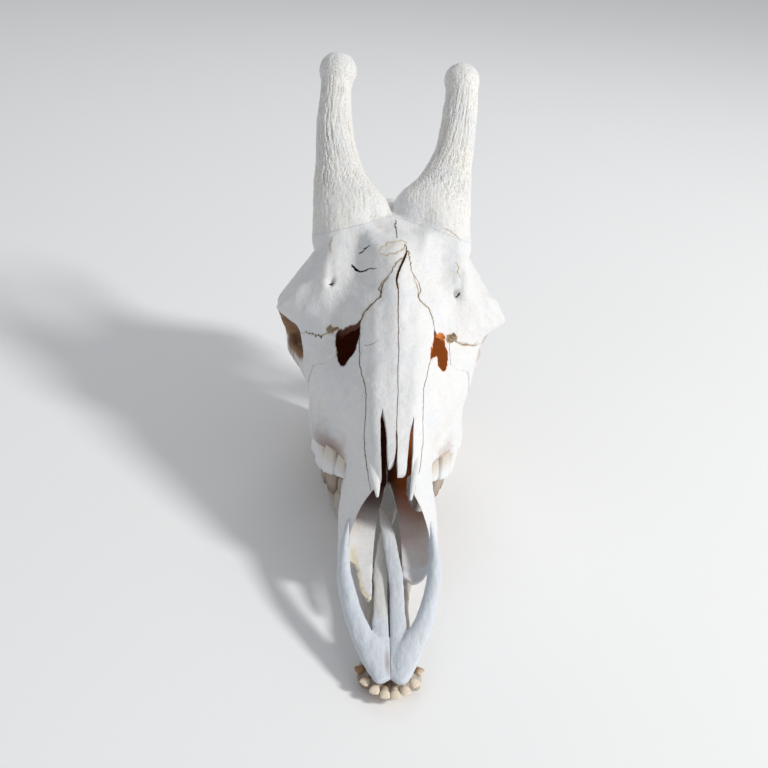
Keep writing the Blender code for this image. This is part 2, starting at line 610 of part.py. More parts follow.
def tooth_row(teeth, shift, root, lift):
    """All the cheek teeth of one row on the left side, biting at a lift from the level of the bite."""
    made = []
    for y, half_long, half_wide in teeth:
        edge = table(UPPER_ROW, [y - 2, y, y + 2])[:, 0]
        heading = math.atan2(edge[2] - edge[0], 4)
        x = edge[1] - shift - half_wide * math.cos(heading)
        made.append(cheek_tooth(x, y, half_long, half_wide, root, lift, heading))
    return made


def front_teeth():
    """The small front teeth of the left half of the lower jaw, leaning forward."""
    made = []
    for x, y, turn in FRONT_TEETH:
        tip = np.array([x, y, FRONT_TOOTH_LEVEL])
        away = np.array([math.sin(turn), -math.cos(turn), FRONT_TOOTH_RISE])
        away /= np.linalg.norm(away)
        stations = []
        for back, wide, high in FRONT_TOOTH_SHAPE:
            stations.append(tuple(tip - away * back) + (wide, high))
        made.append(tube(stations, rows=4, around=7, side=(math.cos(turn), math.sin(turn), 0), end_rings=1))
    return made


# The build

def build_skull():
    """Fuses the upper skull, hollows it and parts it into its bones."""
    whole_forms = [outline_loft(HEAD, 90, 72)]
    whole_forms += both([tube(ORBIT_BAR), tube(ORBIT_FLOOR), tube(CHEEK_ARCH, rows=30), tube(JAW_SOCKET),
                         tube(PTERYGOID), tube(CONDYLE), tube(PAROCCIPITAL), tube(EAR_BULLA)])
    for side, horn, knob in ((1, HORN_LEFT, KNOB_LEFT), (-1, HORN_RIGHT, KNOB_RIGHT)):
        forms = [tube(horn, rows=30, around=32, level=True), ball(np.array(knob[:3]), np.full(3, knob[3]))]
        whole_forms += to_side(forms, side)
    whole_forms += [tube(NUCHAL_CREST, rows=24, side=(0, 1, 0)), tube(OCCIPUT_RIDGE)]
    whole_forms += [upright_block(PLATE_LEFT, *PLATE_LEVELS),
                    mirrored(upright_block(PLATE_RIGHT, *PLATE_LEVELS))]
    whole = fuse("whole", whole_forms, 60000)
    boolean(whole, [outline_loft(CAVITY, 40, 48)], "DIFFERENCE")
    boolean(whole, [upright_block(OPENING_LEFT, *OPENING_LEVELS),
                    mirrored(upright_block(OPENING_RIGHT, *OPENING_LEVELS))], "DIFFERENCE")
    boolean(whole, [tube(SPINAL_HOLE), upright_block(NASAL_SLOT_LEFT, *SLOT_LEVELS),
                    mirrored(upright_block(NASAL_SLOT_RIGHT, *SLOT_LEVELS))], "DIFFERENCE")
    boolean(whole, [upright_block(PALATE_GAP, *PALATE_GAP_LEVELS)], "DIFFERENCE")
    keep_largest(whole)
    thin_out(whole, SKULL_TRIANGLES)
    bones = {}
    for side, name in SIDES:
        for kind in ("nasal", "ossicone", "maxilla", "cheek"):
            bone = copy_of(whole, f"{kind}_{name}")
            space = regions_of(kind, side, 0)
            keeper = make_object("keeper", space[:1], cutters)
            boolean(keeper, space[1:], "UNION")
            run_boolean(bone, keeper, "INTERSECT")
            bpy.data.objects.remove(keeper)
            boolean(whole, regions_of(kind, side, GAP), "DIFFERENCE")
            keep_largest(bone)
            bones[bone.name] = bone
        prong = PRONG_LEFT if side > 0 else PRONG_RIGHT
        slim = tube(prong, rows=8, around=10, end_rings=1)
        wider = tube(grown(prong), rows=8, around=10, end_rings=2)
        boolean(bones[f"nasal_{name}"], to_side([slim], side), "UNION")
        boolean(bones[f"maxilla_{name}"], to_side([wider], side), "DIFFERENCE")
    keep_largest(whole)
    whole.name = "cranium"
    bones["cranium"] = whole
    return bones


def build_muzzle(bones):
    """The two premaxillae, let into the front of the maxillae."""
    for side, name in SIDES:
        tongue = MUZZLE_TONGUE_LEFT if side > 0 else MUZZLE_TONGUE_RIGHT
        bar = tube(MUZZLE_BAR, rows=18, around=10, end_rings=2)
        piece = make_object(f"premaxilla_{name}", to_side([bar], side), parts)
        rest = [tube(MUZZLE_BODY, rows=4, around=10, end_rings=1),
                tube(tongue, rows=9, around=8, end_rings=1)]
        boolean(piece, to_side(rest, side), "UNION")
        bones[piece.name] = piece
        room = [tube(grown(stations), rows=18, around=10, end_rings=2) for stations in (MUZZLE_BAR, tongue)]
        boolean(bones[f"maxilla_{name}"], to_side(room, side), "DIFFERENCE")


def floor_block():
    """All that lies under the floor, in the skull's own frame."""
    verts, faces = box(-200, 200, -200, 700, REST_LEVEL - 100, REST_LEVEL)
    c, s = math.cos(REST_PITCH), math.sin(REST_PITCH)
    x, y, z = verts.T
    return np.stack([x, y * c + z * s, z * c - y * s], -1), faces


def build_jaw(bones):
    """The two halves of the lower jaw with their teeth."""
    forms = [tube(JAW_BODY, rows=44, around=24), tube(JAW_RAMUS, rows=20, around=24), tube(JAW_CONDYLE),
             tube(JAW_CORONOID)]
    jaw = fuse("mandible_left", forms, JAW_TRIANGLES)
    boolean(jaw, tooth_row(LOWER_TEETH, LOWER_ROW_SHIFT, LOWER_ROOT, -BITE_GAP) + front_teeth(), "UNION")
    boolean(jaw, [box(GAP / 2, *JAW_SPACE)], "INTERSECT")
    boolean(jaw, [floor_block()], "DIFFERENCE")
    keep_largest(jaw)
    bones[jaw.name] = jaw
    other = copy_of(jaw, "mandible_right")
    verts = np.empty(len(other.data.vertices) * 3, np.float32)
    other.data.vertices.foreach_get("co", verts)
    verts[0::3] *= -1
    other.data.vertices.foreach_set("co", verts)
    other.data.flip_normals()
    bones[other.name] = other


def to_rest_pose(piece):
    """Tips a part to the resting pose, sets it on the floor and turns millimetres to metres."""
    c, s = math.cos(REST_PITCH), math.sin(REST_PITCH)
    verts = np.empty(len(piece.data.vertices) * 3, np.float32)
    piece.data.vertices.foreach_get("co", verts)
    x, y, z = verts.reshape(-1, 3).astype(float).T
    moved = np.stack([x, y * c - z * s - REST_CENTRE, y * s + z * c - REST_LEVEL], -1) * MM
    piece.data.vertices.foreach_set("co", moved.astype(np.float32).ravel())
    piece.data.update()


def paint(piece):
    """Gives a bone its own plain material."""
    kind = piece.name.split("_")[0]
    material = bpy.data.materials.new(piece.name)
    material.use_nodes = True
    shader = material.node_tree.nodes["Principled BSDF"]
    shader.inputs["Base Color"].default_value = BONE_COLOURS[kind] + (1,)
    shader.inputs["Roughness"].default_value = 0.6
    piece.data.materials.clear()
    piece.data.materials.append(material)


def main():
    """Builds every part of the skull."""
    for old in list(bpy.data.objects):
        bpy.data.objects.remove(old)
    bpy.context.scene.collection.children.link(parts)
    bpy.context.scene.collection.children.link(cutters)
    cutters.hide_render = True
    bones = build_skull()
    build_muzzle(bones)
    upper = tooth_row(UPPER_TEETH, 0, UPPER_ROOT, BITE_GAP)
    boolean(bones["maxilla_left"], upper, "UNION")
    boolean(bones["maxilla_right"], [mirrored(form) for form in upper], "UNION")
    build_jaw(bones)
    for piece in bones.values():
        keep_largest(piece)
        to_rest_pose(piece)
        paint(piece)


main()
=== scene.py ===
"""Giraffe skull at life size: its bones and teeth in fine detail, on a plain studio floor.

Sizes in the tables are millimetres in the skull's own frame: X to its left side, Y from the muzzle
tip back to the neck, Z up, with the muzzle tip at the origin. rest_pose() tips a finished piece to
the resting pose and turns it to metres.
"""

import math
from functools import partial

import bmesh
import bpy
import numpy as np
from bpy.props import FloatProperty, FloatVectorProperty, IntProperty, PointerProperty
from mathutils import Matrix, Vector
from mathutils.bvhtree import BVHTree


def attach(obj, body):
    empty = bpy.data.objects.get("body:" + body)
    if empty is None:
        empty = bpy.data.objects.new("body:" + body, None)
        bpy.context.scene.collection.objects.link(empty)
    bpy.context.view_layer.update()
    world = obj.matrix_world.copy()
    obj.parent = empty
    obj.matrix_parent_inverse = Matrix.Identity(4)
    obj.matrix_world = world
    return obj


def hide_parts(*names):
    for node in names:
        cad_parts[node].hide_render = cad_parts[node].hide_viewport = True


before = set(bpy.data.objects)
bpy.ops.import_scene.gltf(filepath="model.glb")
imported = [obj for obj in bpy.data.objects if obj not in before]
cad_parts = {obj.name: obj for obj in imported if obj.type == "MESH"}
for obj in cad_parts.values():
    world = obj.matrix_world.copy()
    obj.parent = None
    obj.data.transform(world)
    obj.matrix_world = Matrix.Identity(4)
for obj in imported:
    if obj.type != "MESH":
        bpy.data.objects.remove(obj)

bl_info = {
    "name": "Giraffe skull",
    "version": (1, 0, 0),
    "blender": (4, 5, 0),
    "location": "3D View > Sidebar > Skull",
    "description": "Builds a giraffe skull bone by bone, with its teeth, surface relief and studio stage",
    "category": "Object",
}

MM = 0.001

# Resting pose: how far the muzzle is tipped up, and the level of the floor and the middle of the
# skull's length after that, in millimetres
REST_PITCH = math.radians(7.75)
REST_LEVEL = -18.6
REST_CENTRE = 254.92

# Height of the steps that the sides of an upright block are parted into
UPRIGHT_STEP = 3

# Tags that a cutting form leaves on the faces that it makes
OUTSIDE, INSIDE_NOSE, BROKEN_EDGE, CRACK, POCKET = 0, 1, 2, 3, 4
TAG_COUNT = 5

# Names of the two sides, and the sign of x on each
SIDES = (("left", 1), ("right", -1))

# Face and braincase: at each distance back, the half outline from the top of the
# midline round the side to the underside of the midline
HEAD = {
    118: [(0, 27), (14, 27), (26, 26), (36, 24), (41, 19), (43, 13.5), (43.5, 8), (41.5, 3.5), (0, 1.5)],
    125: [(0, 30), (13, 29), (24, 28), (34, 26), (40, 21), (43, 15), (44, 9), (42, 4), (0, 2)],
    145: [(0, 58), (12, 56), (20, 52), (29, 42), (37, 32), (42, 22), (43.5, 14), (42, 7), (0, 5)],
    160: [(0, 76), (12, 73), (20, 66), (28, 56), (35, 44), (40.5, 31), (43, 19), (42, 10), (0, 7)],
    205: [(0, 103), (13, 100), (23, 92), (31, 78), (36, 62), (38.5, 46), (40, 33), (39, 25), (0, 13)],
    225: [(0, 115), (17, 111), (28, 101), (37, 85), (40, 67), (40, 51), (46, 40), (47, 28), (0, 18)],
    235: [(0, 121), (18.5, 116.5), (31, 106), (42, 88.5), (46, 70), (46.5, 53), (57, 40), (57.5, 26.5),
          (0, 20.5)],
    247: [(0, 128), (20.5, 122.5), (34.5, 111.5), (48, 92), (53, 73), (54, 56), (64.5, 40), (65, 25),
          (0, 23.3)],
    270: [(0, 141), (25, 134), (40, 119), (56, 98), (64, 78), (65, 58), (71, 41), (69, 25), (0, 26)],
    300: [(0, 157), (28, 146), (43, 125), (60, 107), (74, 86), (79, 62), (75, 42), (70, 25), (0, 28)],
    325: [(0, 170), (36, 156), (60, 135), (82, 108), (86, 86), (84, 62), (77, 42), (68, 25), (0, 28)],
    334: [(0, 175), (39, 161), (66, 141), (92, 116), (92, 102), (74, 88), (72, 62), (66, 34), (0, 28)],
    342: [(0, 179), (42, 164), (72, 145), (101, 119), (101, 104), (70, 88), (66, 62), (58, 34), (0, 29)],
    350: [(0, 182), (44, 169), (76, 148), (111, 118), (106, 104), (66, 87), (61, 62), (52, 36), (0, 31)],
    356: [(0, 184), (46, 173), (78, 149), (112, 114), (105, 102), (63, 86), (58, 64), (47, 42), (0, 36)],
    372: [(0, 188), (50, 181), (78, 152), (112, 107), (104, 98), (62, 90), (57, 72), (36, 60), (0, 56)],
    390: [(0, 190), (56, 185), (77, 150), (113, 99), (104, 90), (62, 90), (56, 76), (34, 62), (0, 60)],
    408: [(0, 190), (56, 187), (76, 150), (104, 102), (94, 92), (60, 92), (54, 78), (32, 64), (0, 62)],
    425: [(0, 187), (48, 184), (70, 152), (82, 114), (72, 98), (58, 92), (52, 80), (30, 66), (0, 63)],
    445: [(0, 181), (38, 176), (56, 156), (60, 126), (60, 108), (58, 95), (50, 82), (28, 68), (0, 65)],
    470: [(0, 171), (30, 168), (46, 150), (54, 126), (57, 108), (56, 94), (46, 80), (26, 70), (0, 67)],
    495: [(0, 157), (28, 153), (44, 138), (53, 116), (58, 98), (56, 84), (42, 74), (24, 68), (0, 66)],
    512: [(0, 143), (22, 138), (36, 122), (45, 104), (48, 90), (44, 78), (34, 68), (20, 62), (0, 60)],
}
# Nasal cavity, in the same way
CAVITY = {
    80: [(0, 60), (30, 60), (35, 30), (32, 6), (0, 5.5)],
    100: [(0, 60), (30, 60), (36, 30), (33, 6.5), (0, 6)],
    125: [(0, 70), (28, 66), (34, 34), (34, 9), (0, 8)],
    145: [(0, 70), (18, 64), (29, 40), (35, 14), (0, 10)],
    160: [(0, 71), (11, 68), (22, 50), (35, 15), (0, 12)],
    205: [(0, 97), (12, 92), (26, 70), (34, 21), (0, 19)],
    235: [(0, 115), (20, 106), (34, 78), (32, 30), (0, 26)],
    265: [(0, 131), (26, 119), (46, 88), (38, 35), (0, 30)],
    300: [(0, 150), (32, 132), (58, 90), (46, 40), (0, 34)],
    320: [(0, 150), (30, 132), (50, 88), (44, 46), (0, 38)],
    332: [(0, 130), (14, 120), (22, 86), (20, 52), (0, 46)],
}
# Front and rear edge of the left cheek bone's upper part, seen from above: x at each distance back
CHEEK_FRONT = {281.7: 54, 285: 61, 290: 66, 294.5: 70.8, 300: 75, 303.5: 130, 330: 130}
CHEEK_REAR = {281.7: 54, 306: 54, 307.5: 57, 311: 63.3, 313: 67.8, 316: 73.6, 320: 79.4, 325: 84.3, 330: 92}

# Tubes of the back of the skull: x, y, z, half width, half height
ORBIT_BAR = [
    (91, 384, 94, 22, 7), (90, 395, 81, 24.5, 5.5), (91.5, 401, 66, 20.5, 6), (93, 402, 49, 13, 6),
    (93.5, 399, 37, 11, 6),
]
ORBIT_FLOOR = [(68, 346, 52, 13, 10), (80, 362, 47, 13, 7), (89, 377, 44, 9, 5)]
CHEEK_ARCH = [
    (66, 318, 48, 10, 14), (79, 340, 47, 7, 12), (88, 362, 43, 5, 9), (98, 387, 42, 5, 8),
    (99, 412, 49, 4.5, 8), (93, 436, 63, 5, 8), (80, 452, 79, 9, 9), (58, 462, 92, 12, 12),
]
JAW_SOCKET = [(52, 447, 88, 12, 10), (70, 446, 84, 12, 8), (84, 446, 82, 8, 5)]
PTERYGOID = [(26, 338, 26, 5, 9), (22, 360, 34, 3.2, 12), (20, 385, 46, 3.2, 13), (20, 402, 58, 4, 9)]
NUCHAL_CREST = [
    (-47, 494, 112, 4, 6), (-38, 501, 137, 4.5, 6), (0, 509, 150, 5.5, 6), (38, 501, 137, 4.5, 6),
    (47, 494, 112, 4, 6),
]
CONDYLE = [(11, 512, 62, 8, 8), (20, 522, 66, 10, 13), (26, 521, 78, 8, 12), (26, 512, 90, 6, 8)]
PAROCCIPITAL = [(44, 496, 86, 10, 9), (46, 498, 66, 8, 7), (44, 496, 46, 4.5, 5)]
EAR_BULLA = [(34, 462, 68, 5, 7), (35, 474, 64, 8, 10), (37, 486, 68, 6, 8)]
OCCIPUT_RIDGE = [(0, 506, 148, 4, 6), (0, 511, 128, 3, 4), (0, 512, 108, 3.5, 4)]
SPINAL_HOLE = [(0, 535, 84, 13, 11), (0, 498, 84, 12, 10)]

# Horns, from the brow to the knob, each as if it stood on the left
HORN_LEFT = [
    (37, 400, 160, 39.5, 27), (35, 420, 181, 39.3, 27), (35.2, 430, 190, 39.2, 26),
    (37.2, 438, 197, 36.6, 24.5), (42.8, 446, 204, 30.8, 22.5), (47.5, 453, 210, 26.6, 21),
    (52.2, 466, 220, 22.1, 19), (57.2, 482, 233, 19.3, 17.6), (59.8, 500, 248, 17.9, 16.6),
    (61.2, 511, 258.5, 17.5, 16.2), (62.3, 522, 269, 16.6, 16), (62.3, 531, 278, 17, 17),
]
HORN_RIGHT = [
    (43.5, 400, 160, 39.5, 27), (44, 420, 181, 39, 27), (46, 430, 190, 37.5, 25.5),
    (50.8, 438, 197, 32.7, 23.5), (55.5, 446, 204, 28, 22), (58.5, 453, 210, 24.9, 20.5),
    (61.6, 466, 220, 21.8, 19), (65.3, 482, 233, 19.3, 17.5), (67, 497, 246, 17.8, 16.5),
    (67.1, 511, 258.5, 16.4, 16), (66.9, 522, 269, 15.7, 15.6), (66, 531, 278, 17, 16.5),
]
# Middle and radius of each knob
KNOB_LEFT = (62, 535.3, 281.8, 18.5)
KNOB_RIGHT = (65.9, 535.5, 282.3, 19.3)
HORNS = (("left", 1, HORN_LEFT, KNOB_LEFT), ("right", -1, HORN_RIGHT, KNOB_RIGHT))
# Place across of the seam where the two horns meet, the space that takes in a whole horn from the
# middle of its foot upward, and the way up from the foot
HORN_SEAM = -4.7
HORN_SPACE = [
    (42, 393, 183.5, 51.5, 34), (46, 400, 196, 53, 38), (56, 462, 236, 62, 52), (66, 520, 284, 70, 58),
    (72, 570, 326, 72, 62),
]
HORN_FOOT_UP = (0.17, 0.40, 0.90)
# How far the axis of a horn is carried on past its path into the knob, and the upward and backward
# parts of the horns' lean as seen from the side
KNOB_BEYOND = 20
HORN_LEAN = (0.64, 0.77)

# Saddle of bone between the two horns
HORN_SADDLE = [(-4.7, 400, 177, 17, 10), (-4.7, 422, 179, 13, 8), (-4.7, 446, 176, 11, 8)]

# Nasal bones: outer edge of each, and both edges of the slot that forks it, at each distance back
NASAL_EDGE_LEFT = {
    128: 14, 143: 16, 160: 20.3, 174: 23.5, 186: 25, 198: 26, 215: 25.5, 233: 25.5, 245: 28, 258: 31,
    270: 33, 296: 36.3, 302: 34.4, 309: 28.8, 312: 19.8, 320: 20.5, 326: 18.7, 330: 13, 338: 11, 345: 9.5,
    351: 8.6,
}
NASAL_EDGE_RIGHT = {
    128: 14, 143: 16, 160: 20.3, 174: 23.5, 186: 25, 198: 26, 215: 25.5, 233: 26.5, 245: 30, 258: 32.4,
    270: 33, 293: 33.6, 301: 31.6, 305: 24.6, 308: 17.5, 312: 15.3, 318: 17, 323: 13.5, 327: 7.8, 336: 1.5,
    341: -1.5,
}
NASAL_SLOT_LEFT = {
    120: (-1, 14), 143: (-1, 14.6), 157: (-1, 15.5), 160: (8, 16), 165: (11, 16.3), 175: (11.6, 16.5),
    193: (13.3, 16.6), 207: (16.4, 16.9),
}
NASAL_SLOT_RIGHT = {
    120: (-1, 13), 144: (-1, 13), 150: (-1, 11.6), 159: (-1, 10.6), 162: (2.4, 10.8), 172: (5.6, 11.6),
    185: (6.6, 12.4), 202: (8.8, 13), 211: (11.3, 11.9),
}
# Notch between the tips of the two nasal bones
NASAL_NOTCH = {
    155: (-7, 3.6), 163: (-6, 3.1), 165.5: (-4.8, 3), 167: (-2.6, 2.8), 169: (-1.2, 2.6), 171.5: (0.1, 2.5),
    179: (1.1, 2.7), 186: (1.3, 2.4), 194: (1.45, 1.8),
}
# Seam between the two nasal bones: its place across, and how far it gapes, at each distance back
NASAL_SEAM = {110: 0.3, 161: 1, 218: 1.6, 290: 0.3, 310: -0.6, 321: -1.8, 327: -0.4, 342: 5.1, 352: 7.6}
NASAL_SEAM_GAPE = {110: 0.8, 218: 0.6, 300: 0.6, 314: 1, 323: 1.9, 342: 2, 352: 0.9}
# Level that each nasal reaches down to at each distance back, and one above it all
NASAL_UNDERSIDE = {128: 30, 150: 52, 170: 62, 205: 84, 235: 98, 265: 112, 300: 126, 310: 146, 350: 170}
NASAL_ABOVE = 215
# Opening beside each nasal, into the nose: inner and outer edge at each distance back. The left one
# has a second, narrow corner in front
OPENING_RIGHT = {
    265: (45.6, 47), 267: (43.5, 49), 270: (38, 50.5), 275: (35.5, 51.9), 282: (33.4, 53.5), 288: (33.2, 54),
    294: (34.4, 54.3), 300: (38.9, 54.6), 304: (44.3, 54.5), 307: (49.2, 54), 308.5: (52, 53),
}
OPENING_LEFT = {
    263.2: (39.9, 43.8), 265: (39.7, 46.6), 268.8: (39.7, 48.7), 271: (39.4, 49.1), 272.5: (33, 49.4),
    277.5: (33.9, 50.1), 283: (35.3, 50.7), 291.3: (36.5, 51.3), 293.9: (37.1, 50), 295.5: (38.2, 48.8),
    300: (41.3, 48.7), 304: (44.1, 48.6), 305.6: (47, 48.8),
}
OPENING_LEFT_CORNER = {262.5: (31.8, 32.7), 266: (31.9, 34.8), 270.2: (32.2, 37.3), 274: (32.5, 38)}
# Levels between which the openings, and the slots and the notch, are cut
OPENING_LEVELS = (70, 150)
SLOT_LEVELS = (30, 150)
# Each form that is cut into the nose: outline, strength and size of its ragged edges, and side
OPENINGS = [
    (OPENING_LEFT, ((0.6, 6), (0.5, 2.4)), 1), (OPENING_LEFT_CORNER, ((0.3, 2.4),), 1),
    (OPENING_RIGHT, ((0.8, 6), (0.5, 2.4)), -1),
]
SLOTS = [
    (NASAL_SLOT_LEFT, ((0.25, 7),), 1), (NASAL_SLOT_RIGHT, ((0.25, 7),), -1), (NASAL_NOTCH, ((0.25, 7),), 1),
]
# Gap between the two palate plates: its two edges at each distance back, and its levels
PALATE_GAP = {
    60: (-15, 11), 120: (-13.5, 12.5), 170: (-9, 10), 190: (-4.4, 6.8), 202: (-2.4, 4.6), 208: (0.4, 2),
}
PALATE_GAP_LEVELS = (-20, 25)
# Plates of the palate that reach on in front of the face: edges at each distance back, and levels
PLATE_RIGHT = {
    77: (16.5, 18.5), 82: (14, 20.5), 90: (13.4, 24.5), 107: (13.6, 28), 120: (13.5, 30.5), 128: (13, 32),
}
PLATE_LEFT = {
    98: (19, 22), 101: (17, 27), 104: (13, 31), 110: (11.5, 34), 118: (11.5, 38), 126: (11.5, 38),
}
PLATE_LEVELS = (1.2, 5.4)
# Side prong of each nasal bone, from its root to its tip
PRONG_LEFT = [
    (20, 178, 76, 3.8, 2.6), (18.4, 163, 70, 3, 2.3), (16.7, 152, 65, 2.2, 1.8), (15.2, 143, 61, 1.1, 1.1),
]
PRONG_RIGHT = [
    (17.6, 178, 75.5, 5.6, 2.6), (15.8, 163, 69.5, 4.8, 2.4), (14.4, 152, 65.3, 3, 2),
    (13.6, 144, 62, 1.2, 1.2),
]

# Muzzle bars, each with a body and a tongue: x, y, z, half width, half height
MUZZLE_BAR = [
    (6.5, 2, -1, 6.2, 3.2), (9.5, 12, -1, 9, 4.6), (13.5, 26, 0, 11.5, 5.5), (22, 42, 2, 9.5, 6),
    (29, 58, 4.5, 8, 6.6), (34.5, 78, 8.5, 7, 7), (38.5, 98, 12, 6.3, 7.4), (39.2, 115, 16, 5.4, 8),
    (38.2, 128, 20, 4, 8), (36.8, 139, 26, 2.6, 6.4), (34.6, 148, 33, 1, 2.5),
]
MUZZLE_BODY = [(6.8, 4, -1.5, 8, 3.4), (9, 20, -1.2, 10.4, 4.6), (9, 42, -0.5, 10, 4)]
# The two bodies meet along the midline as far back as this, with half this gap
MUZZLE_BODY_END = 56
MUZZLE_HALF_GAP = 0.2
MUZZLE_TONGUE_LEFT = [
    (8.5, 34, 0, 8.3, 3.4), (7, 62, 1.5, 6.8, 2.8), (6.6, 92, 5, 6.4, 2.6), (3.3, 125, 10, 6.3, 2.4),
    (-1, 155, 13.5, 5.6, 2.3), (-5.7, 177, 15, 2.6, 1.8),
]
MUZZLE_TONGUE_RIGHT = [
    (8.5, 34, -0.5, 8.3, 3.2), (7, 62, -0.3, 6.8, 2.6), (6.6, 92, 0, 6.2, 2.4), (5.4, 125, 1.5, 5.8, 2.2),
    (1.5, 155, 4.5, 5, 2.2), (-8.3, 187, 8.5, 2.2, 1.6),
]

# Lower jaw, half: x, y, z, half width, half height
JAW_BODY = [
    (12, 3, -10.5, 12.5, 3.4), (12.5, 14, -11.5, 14, 5), (11.5, 32, -14, 11.5, 7),
    (10.5, 55, -16.5, 9.5, 9.5), (10.5, 85, -19, 9, 12), (12, 108, -21.5, 8.6, 13.8),
    (18, 135, -23.7, 7.8, 14.5), (25, 170, -25.5, 7.4, 14), (33.5, 208, -27.5, 7.8, 17.5),
    (43, 245, -30.5, 9.2, 20), (49, 290, -33.5, 9.8, 23.5), (54, 330, -37, 9.6, 26.5),
    (57, 362, -38.5, 7.5, 29), (58, 388, -36, 6, 29),
]
JAW_RAMUS = [
    (57, 377, -67, 5, 14), (57.5, 384, -58, 6.3, 28), (58.5, 393, -38, 6, 35), (60, 402, -12, 5.4, 33),
    (62.5, 412, 14, 5, 30), (65, 423, 38, 4.8, 24), (66.5, 434, 58, 5.2, 12),
]
JAW_CONDYLE = [(56, 441, 67, 4, 4.2), (66, 441, 69, 6, 5), (75, 440, 67, 4, 4.2)]
JAW_CORONOID = [
    (64, 406, 34, 3.5, 13), (64.5, 403, 52, 3.2, 10), (65.5, 403, 68, 2.8, 7.5), (66.5, 408, 80, 2.4, 4.5),
    (67, 414, 87, 2, 2.5),
]
JAW_HALF_GAP = 0.25

# Cheek teeth: outer edge of the upper row at each distance back, then distance back, half length and
# half width of each tooth; the first molar's number tells where crowns begin to have two lobes
UPPER_ROW = {212: 39, 222: 46, 236: 58, 249: 65.5, 270: 69.5, 296: 70, 322: 68.5, 350: 63}
UPPER_TEETH = [
    (220.5, 8.6, 7.5), (234, 9.2, 9), (249, 9.6, 10.5), (270.5, 12, 11.5), (296, 13.2, 12), (322.5, 13, 11),
]
LOWER_TEETH = [
    (224, 7.4, 4.6), (237.5, 8.2, 5.4), (252.5, 8.8, 6.2), (273, 11.4, 7.2), (298, 12.8, 7.6),
    (325.5, 13.6, 7.2),
]
FIRST_MOLAR = 3
# Of a cheek tooth: how far its oval is squared (1 is a plain ellipse), the share of its height where
# the chewing rim begins, and the share of its length that leaves a gap to the next
SQUARENESS = 0.62
CROWN_RIM = 0.94
TOOTH_GAP_SHARE = 0.985
# Level of the chewing edges at each distance back, half the gap between them, levels of the roots'
# ends, and how far each row lies in from the outer edge
UPPER_BITE = {212: 17, 222: 11, 236: 3.5, 250: -1, 290: -3, 320: -2, 350: 3}
LOWER_BITE = {212: 11, 222: 8, 236: 2.5, 250: -1.5, 290: -3, 320: -2, 350: 3}
BITE_GAP = 0.4
UPPER_ROOT = 39
LOWER_ROOT = -22
UPPER_ROW_SHIFT = -0.5
LOWER_ROW_SHIFT = 6
# Edge of the sockets of the upper teeth: its level at each distance back, and how far the crowns
# stand out from the bone above it
SOCKET_EDGE = {205: 41, 222: 38.5, 236: 35, 250: 31, 270: 26, 300: 24, 356: 24}
SOCKET_STEP = 3.6
# Level that the bone over the tooth row reaches up to
TOOTH_BLOCK_TOP = 40
# Front teeth of the lower jaw: x and y of the crown's tip, and how far the crown turns out; then
# their radius, length and level of the tips
FRONT_TEETH = [(4.4, -9.5, 0.06), (13.2, -5.5, 0.3), (21.4, 2.8, 0.65), (26.4, 15, 1.05)]
FRONT_TOOTH_RADIUS = 4.1
FRONT_TOOTH_LENGTH = 20
FRONT_TOOTH_LEVEL = -7

# Relief of the outer surface seen from above: a line from x, y to x, y, its half width and its height
RELIEF = [
    (-46, 336, -44, 370, 15, -6.5), (46, 338, 46, 368, 14, -5.5), (-34, 326, -38, 374, 12, -2.4),
    (0, 262, -2, 352, 13, 3.2), (-12, 384, -24, 396, 9, -3), (14, 386, 26, 396, 9, -3),
    (-66, 380, -67, 340, 8, 2.6), (65, 378, 66, 342, 8, 2.4),
    (-63.1, 340.5, -63.1, 342, 2.1, -6.5), (59.8, 336, 59.8, 338, 2.1, -6.5),
    (-62, 342, -63, 358, 2.4, -1.1), (62.6, 340, 62.5, 356, 2.2, -1.3),
    (-44, 222, -46, 242, 7, -2.4), (44, 222, 46, 242, 7, -2.4),
    (-20, 300, -16, 180, 6, 1.4), (20, 300, 16, 180, 6, 1.4),
    (-92, 350, -106, 372, 6, 2.2), (92, 350, 106, 372, 6, 2.2),
    (-84, 332, -58, 312, 3, 1.2), (84, 332, 58, 312, 3, 1.2), (-14, 353, 3, 360, 6, 0.8),
    (-30, 376, -18, 350, 5, 1.2), (28, 378, 22, 352, 5, 1.2), (-52, 300, -58, 330, 9, -1.6),
    (54, 300, 60, 330, 9, -1.6),
]
